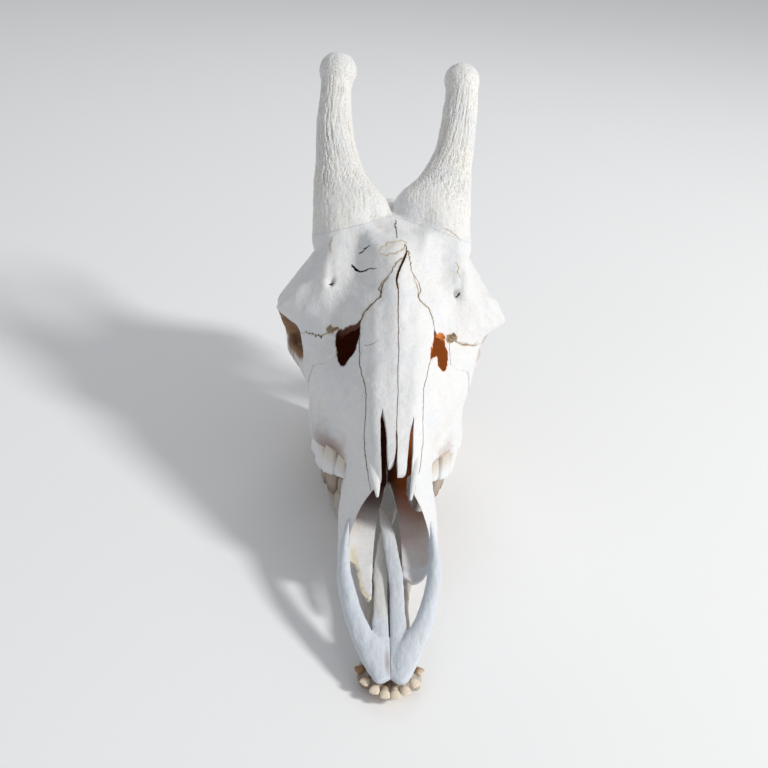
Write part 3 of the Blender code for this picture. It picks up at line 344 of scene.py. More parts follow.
# Cracks and fine sutures of the brow: the tag of their walls, how wide they gape and how deep they
# reach in millimetres, and their line in the photo in pixels
BROW_LINES = [
    (CRACK, 0.35, 3.5, [(395.8, 220), (395, 226), (396.2, 232), (396.5, 239)]),
    (CRACK, 1.2, 4.5, [(352.6, 265.6), (356, 270.4), (360.8, 271.9), (365.5, 270.4), (370, 269),
                       (376, 268.6)]),
    (CRACK, 2.2, 4.5, [(351.6, 264.6), (353.5, 266.8), (356.4, 270), (360, 272)]),
    (CRACK, 1, 3.5, [(359, 253.8), (363, 251.8), (365.5, 248.3), (370.2, 245.6)]),
    (POCKET, 0.35, 2.5, [(379, 251.5), (381, 247), (385.5, 245.8), (388, 242), (394, 242.4), (401, 240),
                         (406.5, 242.2), (404, 248.6), (398, 251.4), (396.5, 253.8), (389, 253.6),
                         (386.5, 255.4), (380.2, 253.6)]),
    (CRACK, 0.6, 3, [(404, 244), (406.5, 247.5), (405.6, 252)]),
    (POCKET, 0.45, 3.5, [(305, 332.6), (310, 333.9), (316, 335), (322, 336.5), (327, 332.7), (334.1, 332.2)]),
    (POCKET, 0.5, 3.5, [(477.4, 345), (473, 345.4), (468, 345), (462.5, 345.5), (458.8, 342.7),
                        (451.7, 340.4)]),
    (POCKET, 0.35, 2, [(442.8, 227.8), (450, 231), (456.7, 236), (460.8, 242)]),
    (POCKET, 0.4, 2, [(456, 262), (458.5, 268), (457.6, 272), (460.5, 278)]),
    (POCKET, 0.3, 2, [(332, 236), (330, 245), (330.5, 253)]),
    (BROKEN_EDGE, 0.25, 2, [(364, 345.5), (370, 345), (377, 341.5)]),
    (BROKEN_EDGE, 1.1, 1.4, [(389.2, 276.4), (384.4, 281.9), (382, 287), (380.8, 291), (381, 297),
                             (374.7, 301.4), (369.2, 306.6), (364, 313.9), (361.4, 320)]),
    (POCKET, 0.9, 1.2, [(413.6, 277.8), (417.8, 289), (419, 299), (424, 304.4), (429, 308.6), (432.6, 318),
                        (434.4, 328)]),
    (CRACK, 1.3, 4, [(456.4, 297), (458, 295.4), (459.4, 292.8)]),
    (CRACK, 1.1, 4, [(328.6, 284.2), (330.8, 284.4), (333, 282.6)]),
]
# Shallow broken pockets beside the openings: middle in pixels of the photo, radii in millimetres
POCKETS = [((332, 329.5), (6.5, 5.5, 3.4)), ((451, 338.5), (8.5, 5.5, 4.2))]
# Row of pores along the suture under the right brow, in pixels of the photo, and their radius in
# millimetres
PORES = [(306, 331.5), (309.5, 333.2), (312.5, 333.5), (315.5, 336), (318.5, 334.6), (321.5, 337.2)]
PORE_RADIUS = 0.7

# Camera fitted to the photo: its place in millimetres, and the directions of its right side, its top
# and its back, in the skull's own frame; its focal length and the width of its sensor in
# millimetres; and the width of the photo in pixels
CAMERA_PLACE = (-74.49233761, -502.57672264, 681.33494467)
CAMERA_RIGHT = (0.99610541, -0.02043859, 0.08576869)
CAMERA_UP = (-0.05537295, 0.61198454, 0.78892887)
CAMERA_BACK = (-0.06861371, -0.79060558, 0.60846937)
CAMERA_LENS = 48.7551
SENSOR = 36
PHOTO_SIZE = 768

# Unevenness of each surface: strength, size, seed and number of layers of each noise, and how much
# each axis is drawn out
SKULL_WAVES = [(0.55, 26, 11, 2), (0.30, 9, 21, 3), (0.12, 3.2, 31, 2)]
MUZZLE_WAVES = [(0.4, 15, 13, 2), (0.22, 3.4, 23, 3, (1, 0.35, 1))]
JAW_WAVES = [(0.5, 22, 14, 2), (0.25, 7, 24, 3)]
FRONT_TOOTH_WAVES = [(0.15, 2.5, 51, 2)]

# Spots, each with its middle, its reach along each axis and its strength. Painted shade, with some stain,
# lies above the cheek teeth, in the hole for the spinal cord and between the front teeth and the muzzle bars,
# and one grey patch of the bone's own colour lies on the muzzle. Brown stain with painted shade lies at the
# front of the lower jaw, and a warm patch on the brow
SHADED_SPOTS = [
    ((-52, 234, 35), (22, 34, 12), 1.2), ((54, 236, 40), (14, 20, 10), 0.45),
    ((-2.5, 17, 4), (3.2, 13, 7), 0.8), ((0, 500, 84), (13, 18, 12), 1.6), ((-14, 2, -14), (24, 20, 8), 1.2),
]
JAW_TIP_SPOTS = [((-17, 4, -14), (16, 20, 8), 1), ((17, 4, -14), (16, 20, 8), 0.4)]
WARM_BROW_SPOT = [((-5.5, 357, 184), (12, 7, 6), 0.45)]
# Distances back over which the inside of the nose turns from pale to its dark brown, a stain deepened by
# painted shade
INSIDE_FROM = (150, 205)
# Levels between which a cheek tooth turns from clean enamel to its stained neck
UPPER_NECK = (8, 39)
LOWER_NECK = (-4, -20)

# Colours that no setting holds, as linear red, green and blue: the dirt along broken edges, the dark of
# cracks, the two tones of the eye sockets (patina with painted shade), the painted glow of the nose's inner
# wall, which stands in for light shining through it, and its strength, and the tone of spots of painted shade
# and stain
EDGE_DIRT = (0.13, 0.07, 0.03)
CRACK_DARK = (0.02, 0.014, 0.01)
SOCKET_TONES = ((0.25, 0.125, 0.065), (0.40, 0.225, 0.10))
NOSE_GLOW = (0.56, 0.16, 0.03)
NOSE_LIGHT = 0.29
SHADED_TONE = (0.50, 0.38, 0.36)
# Colours of the horns' hollows (dirt with painted shade), greyer patches of the muzzle bars, and bone of the
# lower jaw, its stain darkened as painted shade
HORN_HOLLOWS = (0.60, 0.50, 0.36)
MUZZLE_COOL = (0.63, 0.69, 0.765)
JAW_COLOURS = {"clean": (0.56, 0.52, 0.47), "cool": (0.40, 0.38, 0.37), "cream": (0.42, 0.34, 0.24)}
# Stained neck and dark hollows (stain with painted shade) of each kind of tooth, and the enamel of the lower
# cheek teeth; the lower teeth's three colours are darkened as painted shade
UPPER_TOOTH_STAIN, UPPER_TOOTH_PIT = (0.64, 0.56, 0.47), (0.20, 0.12, 0.07)
LOWER_TOOTH_STAIN, LOWER_TOOTH_PIT = (0.26, 0.19, 0.13), (0.12, 0.08, 0.05)
LOWER_TOOTH_ENAMEL = (0.42, 0.35, 0.28)
FRONT_TOOTH_STAIN, FRONT_TOOTH_PIT = (0.32, 0.17, 0.08), (0.20, 0.11, 0.05)

# Half width of the floor in metres; lamps, with their place and diameter in metres, power in watts and
# colour; the place that they look at; and the light from all round
FLOOR_REACH = 12
LIGHTS = [
    ("key_light", (3.1, -1.3, 2.5), 0.7, 118, (1.0, 0.99, 0.97)),
    ("fill_light", (-1.6, -1.0, 1.3), 1.4, 1.5, (0.80, 0.87, 1.0)),
    ("back_light", (0.1, 1.8, 1.9), 1.0, 5, (1, 1, 1)),
]
LIGHT_TARGET = (0, 0, 0.15)
WORLD_COLOUR, WORLD_STRENGTH = (0.94, 0.965, 1.0), 0.40

# Along a line of the photo: the step between points and how far they wander, in pixels
PATH_STEP = 0.6
PATH_WANDER = 0.5

# Forms kept between the operators: the fused skull that the bones are parted from
workbench = {}


# Interpolation and closed surfaces

def fade(values, start, end):
    """0 up to the start and 1 from the end on, in a straight line between; end may be the lower."""
    return np.clip((values - start) / (end - start), 0, 1)


def path_length(points):
    """Length of the path from its first point to each of its points."""
    return np.concatenate([[0], np.cumsum(np.linalg.norm(np.diff(points, axis=0), axis=1))])


def curve(knots, values, at):
    """Values at the asked places by a cubic Hermite curve through the knots, with the harmonic mean
    of the neighbouring slopes at each knot so that it doesn't overshoot."""
    t = np.asarray(knots, float)
    v = np.asarray(values, float).reshape(len(t), -1)
    q = np.clip(np.asarray(at, float), t[0], t[-1])
    step = np.diff(t)[:, None]
    rate = np.diff(v, axis=0) / step
    slope = np.zeros_like(v)
    slope[0] = rate[0]
    slope[-1] = rate[-1]
    if len(t) > 2:
        before, after = rate[:-1], rate[1:]
        near = 2 * step[1:] + step[:-1]
        far = step[1:] + 2 * step[:-1]
        safe = before * after > 0
        mean = (near + far) / (near / np.where(safe, before, 1) + far / np.where(safe, after, 1))
        slope[1:-1] = np.where(safe, mean, 0)
    i = np.clip(np.searchsorted(t, q, side="right") - 1, 0, len(t) - 2)
    h = (t[i + 1] - t[i])[:, None]
    s = ((q - t[i]) / (t[i + 1] - t[i]))[:, None]
    return (v[i] * (1 + 2 * s) * (1 - s) ** 2 + slope[i] * h * s * (1 - s) ** 2
            + v[i + 1] * s * s * (3 - 2 * s) + slope[i + 1] * h * s * s * (s - 1))


def table(sizes, at):
    """The values of a table of sizes, read by curve() at the asked places."""
    return curve(list(sizes), list(sizes.values()), at)


def column(sizes, at):
    """The values of a table that holds one number at each place."""
    return table(sizes, at)[:, 0]


def closed_grid(points):
    """A closed surface from rings of points: quads between neighbouring rings, and a fan of
    triangles round the middle of the first ring and of the last."""
    rings, around = points.shape[:2]
    verts = np.vstack([points.reshape(-1, 3), points[0].mean(axis=0), points[-1].mean(axis=0)])
    row = np.arange(rings - 1)[:, None] * around
    here = np.arange(around)
    ahead = (here + 1) % around
    quads = np.stack([row + here, row + ahead, row + around + ahead, row + around + here], axis=-1)
    last = (rings - 1) * around
    start = np.stack([np.full(around, rings * around), ahead, here], axis=-1)
    end = np.stack([np.full(around, rings * around + 1), last + here, last + ahead], axis=-1)
    return verts, quads.reshape(-1, 4), np.vstack([start, end])


def outline_loft(sizes, rows, around):
    """A closed form through half outlines: each outline is mirrored to both sides and read as a
    Catmull-Rom spline round the ring, and curve() carries its points from ring to ring."""
    ys = np.array(list(sizes), float)
    half = np.array(list(sizes.values()), float)
    at = np.linspace(ys[0], ys[-1], rows)
    keyed = curve(ys, half.reshape(len(ys), -1), at).reshape(rows, -1, 2)
    full = np.concatenate([keyed, keyed[:, -2:0:-1] * [-1, 1]], axis=1)
    count = full.shape[1]
    t = np.linspace(0, count, around, endpoint=False)
    i = np.floor(t).astype(int)
    s = (t - i)[None, :, None]
    p0, p1, p2, p3 = (full[:, (i + d) % count] for d in (-1, 0, 1, 2))
    ring = 0.5 * (2 * p1 + (p2 - p0) * s + (2 * p0 - 5 * p1 + 4 * p2 - p3) * s ** 2
                  + (3 * p1 - p0 - 3 * p2 + p3) * s ** 3)
    points = np.stack([ring[..., 0], np.repeat(at[:, None], around, axis=1), ring[..., 1]], axis=-1)
    return closed_grid(points)


def tube(stations, rows=40, around=40, side=(1, 0, 0), level=False, end_rings=4):
    """A closed tube: an ellipse carried along the path through the stations, its half width and
    half height read with the path by curve(), and its ends rounded off like half an ellipsoid. A
    level one keeps the width of every section along the side direction."""
    data = np.asarray(stations, float)
    side = np.asarray(side, float)
    length = path_length(data[:, :3])
    read = curve(length, data, np.linspace(0, length[-1], rows))
    middle, wide, high = read[:, :3], read[:, 3], read[:, 4]
    along = np.gradient(middle, axis=0)
    if level:
        along -= (along @ side)[:, None] * side
    along /= np.linalg.norm(along, axis=1)[:, None]
    if end_rings:
        steps = np.sin(np.linspace(0, np.pi / 2, end_rings + 1)[1:])
        shrink = np.sqrt(np.maximum(1 - steps ** 2, 0.02))
        head = middle[0] - along[0] * (0.8 * min(wide[0], high[0]) * steps)[::-1, None]
        tail = middle[-1] + along[-1] * (0.8 * min(wide[-1], high[-1]) * steps)[:, None]
        middle = np.vstack([head, middle, tail])
        wide = np.concatenate([(wide[0] * shrink)[::-1], wide, wide[-1] * shrink])
        high = np.concatenate([(high[0] * shrink)[::-1], high, high[-1] * shrink])
        along = np.vstack([np.repeat(along[:1], end_rings, axis=0), along,
                           np.repeat(along[-1:], end_rings, axis=0)])
    across = side - (along @ side)[:, None] * along
    across /= np.linalg.norm(across, axis=1)[:, None]
    upward = np.cross(across, along)
    turn = np.linspace(0, 2 * np.pi, around, endpoint=False)
    points = (middle[:, None] + across[:, None] * (wide[:, None] * np.cos(turn))[..., None]
              + upward[:, None] * (high[:, None] * np.sin(turn))[..., None])
    return closed_grid(points)


def ball(middle, radii, rows=40, around=64):
    """An ellipsoid: rings of equal latitude, each a circle scaled by the radii."""
    turn = np.linspace(0, 2 * np.pi, around, endpoint=False)
    lift = np.linspace(-np.pi / 2, np.pi / 2, rows + 2)[1:-1]
    points = np.stack([np.cos(lift)[:, None] * np.cos(turn), np.cos(lift)[:, None] * np.sin(turn),
                       np.repeat(np.sin(lift)[:, None], around, axis=1)], axis=-1)
    return closed_grid(points * radii + middle)


def strip_block(ys, inner, outer, low, high, across=1, tall=1, end_rings=0):
    """A closed block that follows the y values, from inner to outer x and low to high z. Its sides
    are parted into steps, and its ends into rings that shrink towards their middle."""
    u = np.concatenate([np.linspace(0, 1, across, endpoint=False), np.ones(tall),
                        np.linspace(1, 0, across, endpoint=False), np.zeros(tall)])
    v = np.concatenate([np.zeros(across), np.linspace(0, 1, tall, endpoint=False),
                        np.ones(across), np.linspace(1, 0, tall, endpoint=False)])
    ys, inner, outer, low, high = (np.asarray(a, float) for a in (ys, inner, outer, low, high))
    rings = np.stack([inner[:, None] + (outer - inner)[:, None] * u, np.repeat(ys[:, None], len(u), axis=1),
                      low[:, None] + (high - low)[:, None] * v], axis=-1)
    if end_rings:
        share = np.linspace(0, 1, end_rings, endpoint=False)[1:][::-1, None, None]
        first, last = rings[0].mean(axis=0), rings[-1].mean(axis=0)
        rings = np.concatenate([first + (rings[:1] - first) * (1 - share), rings,
                                (last + (rings[-1:] - last) * (1 - share))[::-1]])
    return closed_grid(rings)


def box(x0, x1, y0, y1, z0, z1, step=None):
    """A block between two corners, its faces parted into steps of about the asked size."""
    if step is None:
        return strip_block([y0, y1], [x0, x0], [x1, x1], [z0, z0], [z1, z1])
    rows = max(2, int((y1 - y0) / step))
    ys = np.linspace(y0, y1, rows)
    across, tall = max(1, int((x1 - x0) / step)), max(1, int((z1 - z0) / step))
    one = np.ones(rows)
    return strip_block(ys, one * x0, one * x1, one * z0, one * z1, across, tall, max(across, tall) // 2)


def upright_block(outline, low, high, step):
    """A block that stands upright on an outline seen from above, its long sides parted into steps of
    about the asked size."""
    ys = np.array(list(outline), float)
    ys = np.unique(np.concatenate([ys, np.arange(ys[0], ys[-1], step)]))
    inner, outer = table(outline, ys).T
    tall = max(1, int((high - low) / UPRIGHT_STEP))
    return strip_block(ys, inner, outer, ys * 0 + low, ys * 0 + high, tall=tall)


def mirrored(form):
    """The same form on the other side."""
    return (form[0] * [-1, 1, 1],) + tuple(faces[:, ::-1] for faces in form[1:])


def to_side(forms, side):
    """Forms that are given on the left, on the asked side."""
    return forms if side > 0 else [mirrored(form) for form in forms]


def both(forms):
    """Each form and its mirror image."""
    return forms + [mirrored(form) for form in forms]


# Noise

def corner_hash(cell, seed):
    """A large whole number for each cell of a lattice, scrambled from its place and the seed by
    products with large odd numbers."""
    x, y, z = cell.T
    return (((x * 73856093) ^ (y * 19349663) ^ (z * 83492791) ^ (seed * 26544357)) & 0xFFFFFFFF) * 1274126177


def lattice_noise(points, size, seed):
    """Smooth noise from -1 to 1: hashed values at the corners of a cubic lattice of the given size,
    blended between the corners by 3t^2 - 2t^3."""
    q = np.asarray(points, float) / size
    cell = np.floor(q).astype(np.int64)
    t = q - cell
    t = t * t * (3 - 2 * t)
    total = np.zeros(len(q))
    for corner in np.ndindex(2, 2, 2):
        c = cell + corner
        h = corner_hash(c, seed)
        h = (h ^ (h >> 15)) & 0xFFFFFF
        total += (h / 0x7FFFFF - 1) * np.prod(np.where(corner, t, 1 - t), axis=1)
    return total


def cell_distance(points, size, seed):
    """Distance, in cells, to the nearest of the seeded points that each cell of a lattice holds."""
    q = np.asarray(points, float) / size
    cell = np.floor(q).astype(np.int64)
    nearest = np.full(len(q), 9.0)
    for corner in np.ndindex(3, 3, 3):
        c = cell + corner - 1
        h = corner_hash(c, seed)
        h ^= h >> 15
        place = c + np.stack([h & 0x3FF, (h >> 10) & 0x3FF, (h >> 20) & 0x3FF], axis=-1) / 1023
        nearest = np.minimum(nearest, np.linalg.norm(q - place, axis=1))
    return nearest


def layered_noise(points, size, seed, layers=3):
    """Several layers of lattice noise, each half the size and half the strength of the one before."""
    return sum(lattice_noise(points, size / 2 ** k, seed + k) / 2 ** k for k in range(layers))


def waves(points, layers):
    """The sum of several layered noises, each read at points drawn out along the axes."""
    total = 0
    for strength, size, seed, count, *stretch in layers:
        drawn = points * stretch[0] if stretch else points
        total = total + strength * layered_noise(drawn, size, seed, count)
    return total


def ragged(form, strength, size=7, seed=5):
    """Shifts the points of a form by a smooth vector noise, so that its edges wander like a suture."""
    points = form[0]
    shift = np.stack([lattice_noise(points, size, seed + k)
                      + 0.45 * lattice_noise(points, size / 2.7, seed + 10 + k) for k in range(3)], axis=-1)
    return (points + shift * strength,) + form[1:]


def ragged_block(outline, levels, step, edges, side=1):
    """An upright block on the asked side, its edges made ragged by each strength and size in turn."""
    form = upright_block(outline, *levels, step)
    for strength, size in edges:
        form = ragged(form, strength, size)
    return to_side([form], side)[0]


# Blender objects and the tools that join, cut and read them

def make_object(name, forms, tag=OUTSIDE):
    """One mesh object from closed forms, in millimetres, faces outward and marked with a tag."""
    verts, faces, base = [], [], 0
    for points, *corners in forms:
        verts += points.tolist()
        for group in corners:
            faces += (group + base).tolist()
        base += len(points)
    mesh = bpy.data.meshes.new(name)
    mesh.from_pydata(verts, [], faces)
    for _ in range(TAG_COUNT):
        mesh.materials.append(None)
    mesh.polygons.foreach_set("material_index", np.full(len(mesh.polygons), tag, np.int32))
    bm = bmesh.new()
    bm.from_mesh(mesh)
    bmesh.ops.recalc_face_normals(bm, faces=bm.faces)
    bm.to_mesh(mesh)
    bm.free()
    piece = bpy.data.objects.new(name, mesh)
    bpy.context.scene.collection.objects.link(piece)
    return piece


def settle(piece):
    """Applies the modifiers of a piece."""
    graph = bpy.context.evaluated_depsgraph_get()
    done = bpy.data.meshes.new_from_object(piece.evaluated_get(graph))
    piece.modifiers.clear()
    piece.data = done


def fuse(name, forms, voxel, rounds):
    """One closed solid from overlapping closed forms, cut into cells and smoothed so many rounds."""
    piece = make_object(name, forms)
    remesh = piece.modifiers.new("fuse", "REMESH")
    remesh.mode = "VOXEL"
    remesh.voxel_size = voxel
    smooth = piece.modifiers.new("smooth", "SMOOTH")
    smooth.factor = 0.5
    smooth.iterations = rounds
    settle(piece)
    while len(piece.data.materials) < TAG_COUNT:
        piece.data.materials.append(None)
    return piece


def is_closed(piece):
    """Whether each edge of a mesh joins exactly two faces."""
    mesh = piece.data
    edges = np.empty(len(mesh.loops), np.int32)
    mesh.loops.foreach_get("edge_index", edges)
    return bool(np.all(np.bincount(edges, minlength=len(mesh.edges)) == 2))


def run_boolean(piece, tool, kind):
    """One Boolean between two mesh objects, applied. The manifold solver is many times quicker on
    these dense meshes; where one of them isn't quite closed, the exact solver does it."""
    modifier = piece.modifiers.new(kind, "BOOLEAN")
    modifier.object = tool
    modifier.operation = kind
    modifier.solver = "MANIFOLD" if is_closed(piece) and is_closed(tool) else "EXACT"
    settle(piece)
    if not len(piece.data.polygons):
        raise RuntimeError(f"nothing is left of {piece.name} after {kind.lower()} with {tool.name}")


def cut(piece, forms, kind="DIFFERENCE", tag=BROKEN_EDGE):
    """Cuts closed forms off a piece, joins them to it or keeps what it shares with them, one after the
    other. The faces that they make bear the tag."""
    for form in forms:
        tool = make_object("tool", [form], tag)
        run_boolean(piece, tool, kind)
        bpy.data.objects.remove(tool)


def part_off(whole, name, regions, gap):
    """Parts a bone off the fused skull: what lies in the regions, which are widened by the gap before
    they are cut out of what stays behind."""
    bone = bpy.data.objects.new(name, whole.data.copy())
    bpy.context.scene.collection.objects.link(bone)
    forms = regions(0)
    keeper = make_object("keeper", forms[:1], BROKEN_EDGE)
    cut(keeper, forms[1:], "UNION")
    run_boolean(bone, keeper, "INTERSECT")
    bpy.data.objects.remove(keeper)
    cut(whole, regions(gap))
    keep_largest(bone)
    return bone


def keep_largest(piece):
    """Keeps only the largest closed surface: every corner takes the lowest number among its
    neighbours until nothing changes, so that each surface ends with a number of its own."""
    mesh = piece.data
    ends = read_edges(mesh)
    label = np.arange(len(mesh.vertices))
    while True:
        low = np.minimum(label[ends[:, 0]], label[ends[:, 1]])
        new = label.copy()
        np.minimum.at(new, ends[:, 0], low)
        np.minimum.at(new, ends[:, 1], low)
        new = new[new]
        if np.array_equal(new, label):
            break
        label = new
    names, counts = np.unique(label, return_counts=True)
    loose = np.flatnonzero(label != names[np.argmax(counts)])
    if not len(loose):
        return
    bm = bmesh.new()
    bm.from_mesh(mesh)
    bm.verts.ensure_lookup_table()
    bmesh.ops.delete(bm, geom=[bm.verts[i] for i in loose], context="VERTS")
    bm.to_mesh(mesh)
    bm.free()
    mesh.update()


def read_points(mesh):
    """The corners of a mesh as an array."""
    points = np.empty(len(mesh.vertices) * 3, np.float32)
    mesh.vertices.foreach_get("co", points)
    return points.reshape(-1, 3).astype(float)


def write_points(mesh, points):
    """Puts an array of corners back into a mesh."""
    mesh.vertices.foreach_set("co", points.astype(np.float32).ravel())
    mesh.update()


def read_normals(mesh):
    """The outward direction at each corner of a mesh."""
    normals = np.empty(len(mesh.vertices) * 3, np.float32)
    mesh.vertex_normals.foreach_get("vector", normals)
    return normals.reshape(-1, 3).astype(float)


def read_edges(mesh):
    """The two corners of each edge."""
    edges = np.empty(len(mesh.edges) * 2, np.int32)
    mesh.edges.foreach_get("vertices", edges)
    return edges.reshape(-1, 2)


def spread(values, edges, rounds):
    """Averages values over neighbouring corners again and again."""
    flat = values.reshape(len(values), -1)
    count = np.bincount(edges.ravel(), minlength=len(values))[:, None] + 1
    for _ in range(rounds):
        total = flat.copy()
        for k in range(flat.shape[1]):
            total[:, k] += np.bincount(edges[:, 0], flat[edges[:, 1], k], len(flat))
            total[:, k] += np.bincount(edges[:, 1], flat[edges[:, 0], k], len(flat))
        flat = total / count
    return flat.reshape(values.shape)


def corners_with_tag(mesh, tag):
    """1 at the corners that touch a face with the tag, and 0 elsewhere."""
    tags = np.empty(len(mesh.polygons), np.int32)
    mesh.polygons.foreach_get("material_index", tags)
    sizes = np.empty(len(mesh.polygons), np.int32)
    mesh.polygons.foreach_get("loop_total", sizes)
    corners = np.empty(len(mesh.loops), np.int32)
    mesh.loops.foreach_get("vertex_index", corners)
    mark = np.zeros(len(mesh.vertices))
    mark[corners[np.repeat(tags == tag, sizes)]] = 1
    return mark


def write_value(mesh, name, values):
    """Stores one number for each corner as a named attribute."""
    layer = mesh.attributes.get(name) or mesh.attributes.new(name, "FLOAT", "POINT")
    layer.data.foreach_set("value", values.astype(np.float32))


def rest_pose(points):
    """Tips points of the skull's frame to the resting pose, sets them on the floor, in metres."""
    c, s = math.cos(REST_PITCH), math.sin(REST_PITCH)
    x, y, z = points.T
    return np.stack([x, y * c - z * s - REST_CENTRE, y * s + z * c - REST_LEVEL], axis=-1) * MM


def spots(points, places):
    """The sum of bell-shaped spots, each as high as its strength in its middle."""
    return sum(strength * np.exp(-np.sum(((points - place) / reach) ** 2, axis=1))
               for place, reach, strength in places)


def store_recess(mesh, near, far, reach_near, reach_far):
    """Stores how hollow the surface is at each corner: 0 on ridges, 0.5 where it is flat, 1 in
    hollows. It is the distance outward to the smoothed surfaces, each in units of its reach."""
    points, normals = read_points(mesh), read_normals(mesh)
    hollow = np.sum((far - points) * normals, axis=1)
    fine = np.sum((near - points) * normals, axis=1)
    write_value(mesh, "recess", np.clip(hollow / reach_far + fine / reach_near, -1, 1) * 0.5 + 0.5)


def add_wear(piece, scale=1.0, stain_rounds=3, stain=1.0):
    """Works out where colour gathers and where shade is painted: tan dirt along broken edges, most of all
    round the nasal bones, and in pockets; dark crack walls; how hollow the surface is, for dirt with painted
    shade in hollows; the inside of the nose, stain deepened as painted shade; the eye sockets, patina with
    painted shade; brown stain with painted shade at the front of the lower jaw; and spots of painted shade
    and stain. It also marks where the bone is cold white, towards the muzzle. Places and reaches are
    millimetres."""
    mesh = piece.data
    points, normals, edges = read_points(mesh), read_normals(mesh), read_edges(mesh)
    near = spread(points, edges, 4)
    store_recess(mesh, near, spread(near, edges, 30), 0.35 * scale, 2.2 * scale)
    x, y, z = points.T
    side = np.abs(x)
    edge = corners_with_tag(mesh, BROKEN_EDGE)
    by_nasals = fade(y, 150, 170) * fade(side, 44, 40) * fade(z, 55, 65)
    by_nasals *= fade(y, 362, 356) * (0.62 + 0.38 * fade(y, 280, 295))
    dirt = np.maximum(by_nasals * np.where(x < 0, 1, 0.8), 0.3)
    pocket = np.clip(spread(corners_with_tag(mesh, POCKET), edges, 1) * 1.3, 0, 1)
    # Front of the lower jaw: brown stain with painted shade, under the muzzle bars and between the front
    # teeth, stronger on the right side
    jaw_tip = spots(points, JAW_TIP_SPOTS) * fade(z, -4, -8)
    edge_dirt = np.clip(spread(edge, edges, stain_rounds) * stain, 0, 1) * dirt
    write_value(mesh, "broken", edge * np.where(dirt > 0.5, 1, 0.74))
    write_value(mesh, "seam", np.clip(edge_dirt + 0.55 * pocket + 0.9 * jaw_tip, 0, 1))
    write_value(mesh, "crack", corners_with_tag(mesh, CRACK) * (1 - edge))
    inside = spread(corners_with_tag(mesh, INSIDE_NOSE), edges, 1)
    write_value(mesh, "inside", inside * (0.12 + 0.88 * fade(y, *INSIDE_FROM)))
    outward = normals[:, 0] * np.sign(x)
    # Eye sockets: brown patina with painted shade on the surfaces that face into the socket, stronger on the
    # right side
    socket = fade(side, 52, 60) * fade(y, 342, 352) * fade(y, 440, 420) * fade(z, 104, 98) * fade(z, 20, 40)
    write_value(mesh, "socket", socket * fade(outward, 0.98, 0.83) * np.where(x < 0, 0.95, 0.35))
    # Spots of painted shade and stain, which darken the colour
    write_value(mesh, "shade", np.clip(spots(points, SHADED_SPOTS), 0, 1))
    write_value(mesh, "cold", 0.8 * fade(y, 170, 130) * fade(side, 27, 35))
    write_value(mesh, "warm", np.clip(pocket + spots(points, WARM_BROW_SPOT), 0, 1))


def finish_piece(piece, material, node, sharp=38):
    """Tips a finished piece to the resting pose, shades it smoothly but for edges sharper than so many
    degrees, and tells the frame what it rides on and stands for."""
    mesh = piece.data
    write_points(mesh, rest_pose(read_points(mesh)))
    mesh.polygons.foreach_set("material_index", np.zeros(len(mesh.polygons), np.int32))
    mesh.materials.clear()
    mesh.materials.append(material)
    mesh.shade_smooth()
    mesh.set_sharp_from_angle(angle=math.radians(sharp))
    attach(piece, "root")
    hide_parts(node)


# Materials

def feed(tree, socket, value):
    """Links a socket to an input, or sets the input to a plain value."""
    if isinstance(value, bpy.types.NodeSocket):
        tree.links.new(value, socket)
    else:
        socket.default_value = value


def maths(tree, operation, a, b=0.5, clamp=False):
    """The result of a Math node."""
    node = tree.nodes.new("ShaderNodeMath")
    node.operation = operation
    node.use_clamp = clamp
    feed(tree, node.inputs[0], a)
    feed(tree, node.inputs[1], b)
    return node.outputs[0]


def blend_colour(tree, share, a, b, mode="MIX"):
    """The result of a Mix node between two colours."""
    node = tree.nodes.new("ShaderNodeMix")
    node.data_type = "RGBA"
    node.blend_type = mode
    feed(tree, node.inputs["Factor"], share)
    feed(tree, node.inputs[6], a)
    feed(tree, node.inputs[7], b)
    return node.outputs[2]


def noise_value(tree, place, scale, detail=3.0, roughness=0.55, stretch=None):
    """The value of a Noise Texture at a place."""
    if stretch:
        mapping = tree.nodes.new("ShaderNodeMapping")
        mapping.inputs["Scale"].default_value = stretch
        feed(tree, mapping.inputs["Vector"], place)
        place = mapping.outputs[0]
    node = tree.nodes.new("ShaderNodeTexNoise")
    feed(tree, node.inputs["Vector"], place)
    feed(tree, node.inputs["Scale"], scale)
    node.inputs["Detail"].default_value = detail
    node.inputs["Roughness"].default_value = roughness
    return node.outputs[0]


def cell_value(tree, place, scale):
    """The distance to the nearest cell point of a Voronoi Texture at a place."""
    node = tree.nodes.new("ShaderNodeTexVoronoi")
    feed(tree, node.inputs["Vector"], place)
    feed(tree, node.inputs["Scale"], scale)
    return node.outputs["Distance"]


def ramp(tree, value, low, high):
    """A value stretched so that low becomes 0 and high becomes 1, and smoothed between them."""
    node = tree.nodes.new("ShaderNodeMapRange")
    node.interpolation_type = "SMOOTHSTEP"
    feed(tree, node.inputs["Value"], value)
    node.inputs["From Min"].default_value = low
    node.inputs["From Max"].default_value = high
    return node.outputs[0]


def opaque(colour):
    """A colour as a socket takes it, with full opacity."""
    return tuple(colour) + (1,)


# Inputs of the group for dry bone: colours and numbers that each material sets, and the attributes
# of the mesh that say where each look belongs
BONE_COLOURS = ("Clean", "Cool", "Cream", "Tan", "Inner", "Glow")
BONE_NUMBERS = ("Pores", "Stain", "Fibre", "Hollows")
BONE_ATTRIBUTES = ("Recess", "Seam", "Broken", "Inside", "Crack", "Warm", "Cold", "Socket", "Shade")


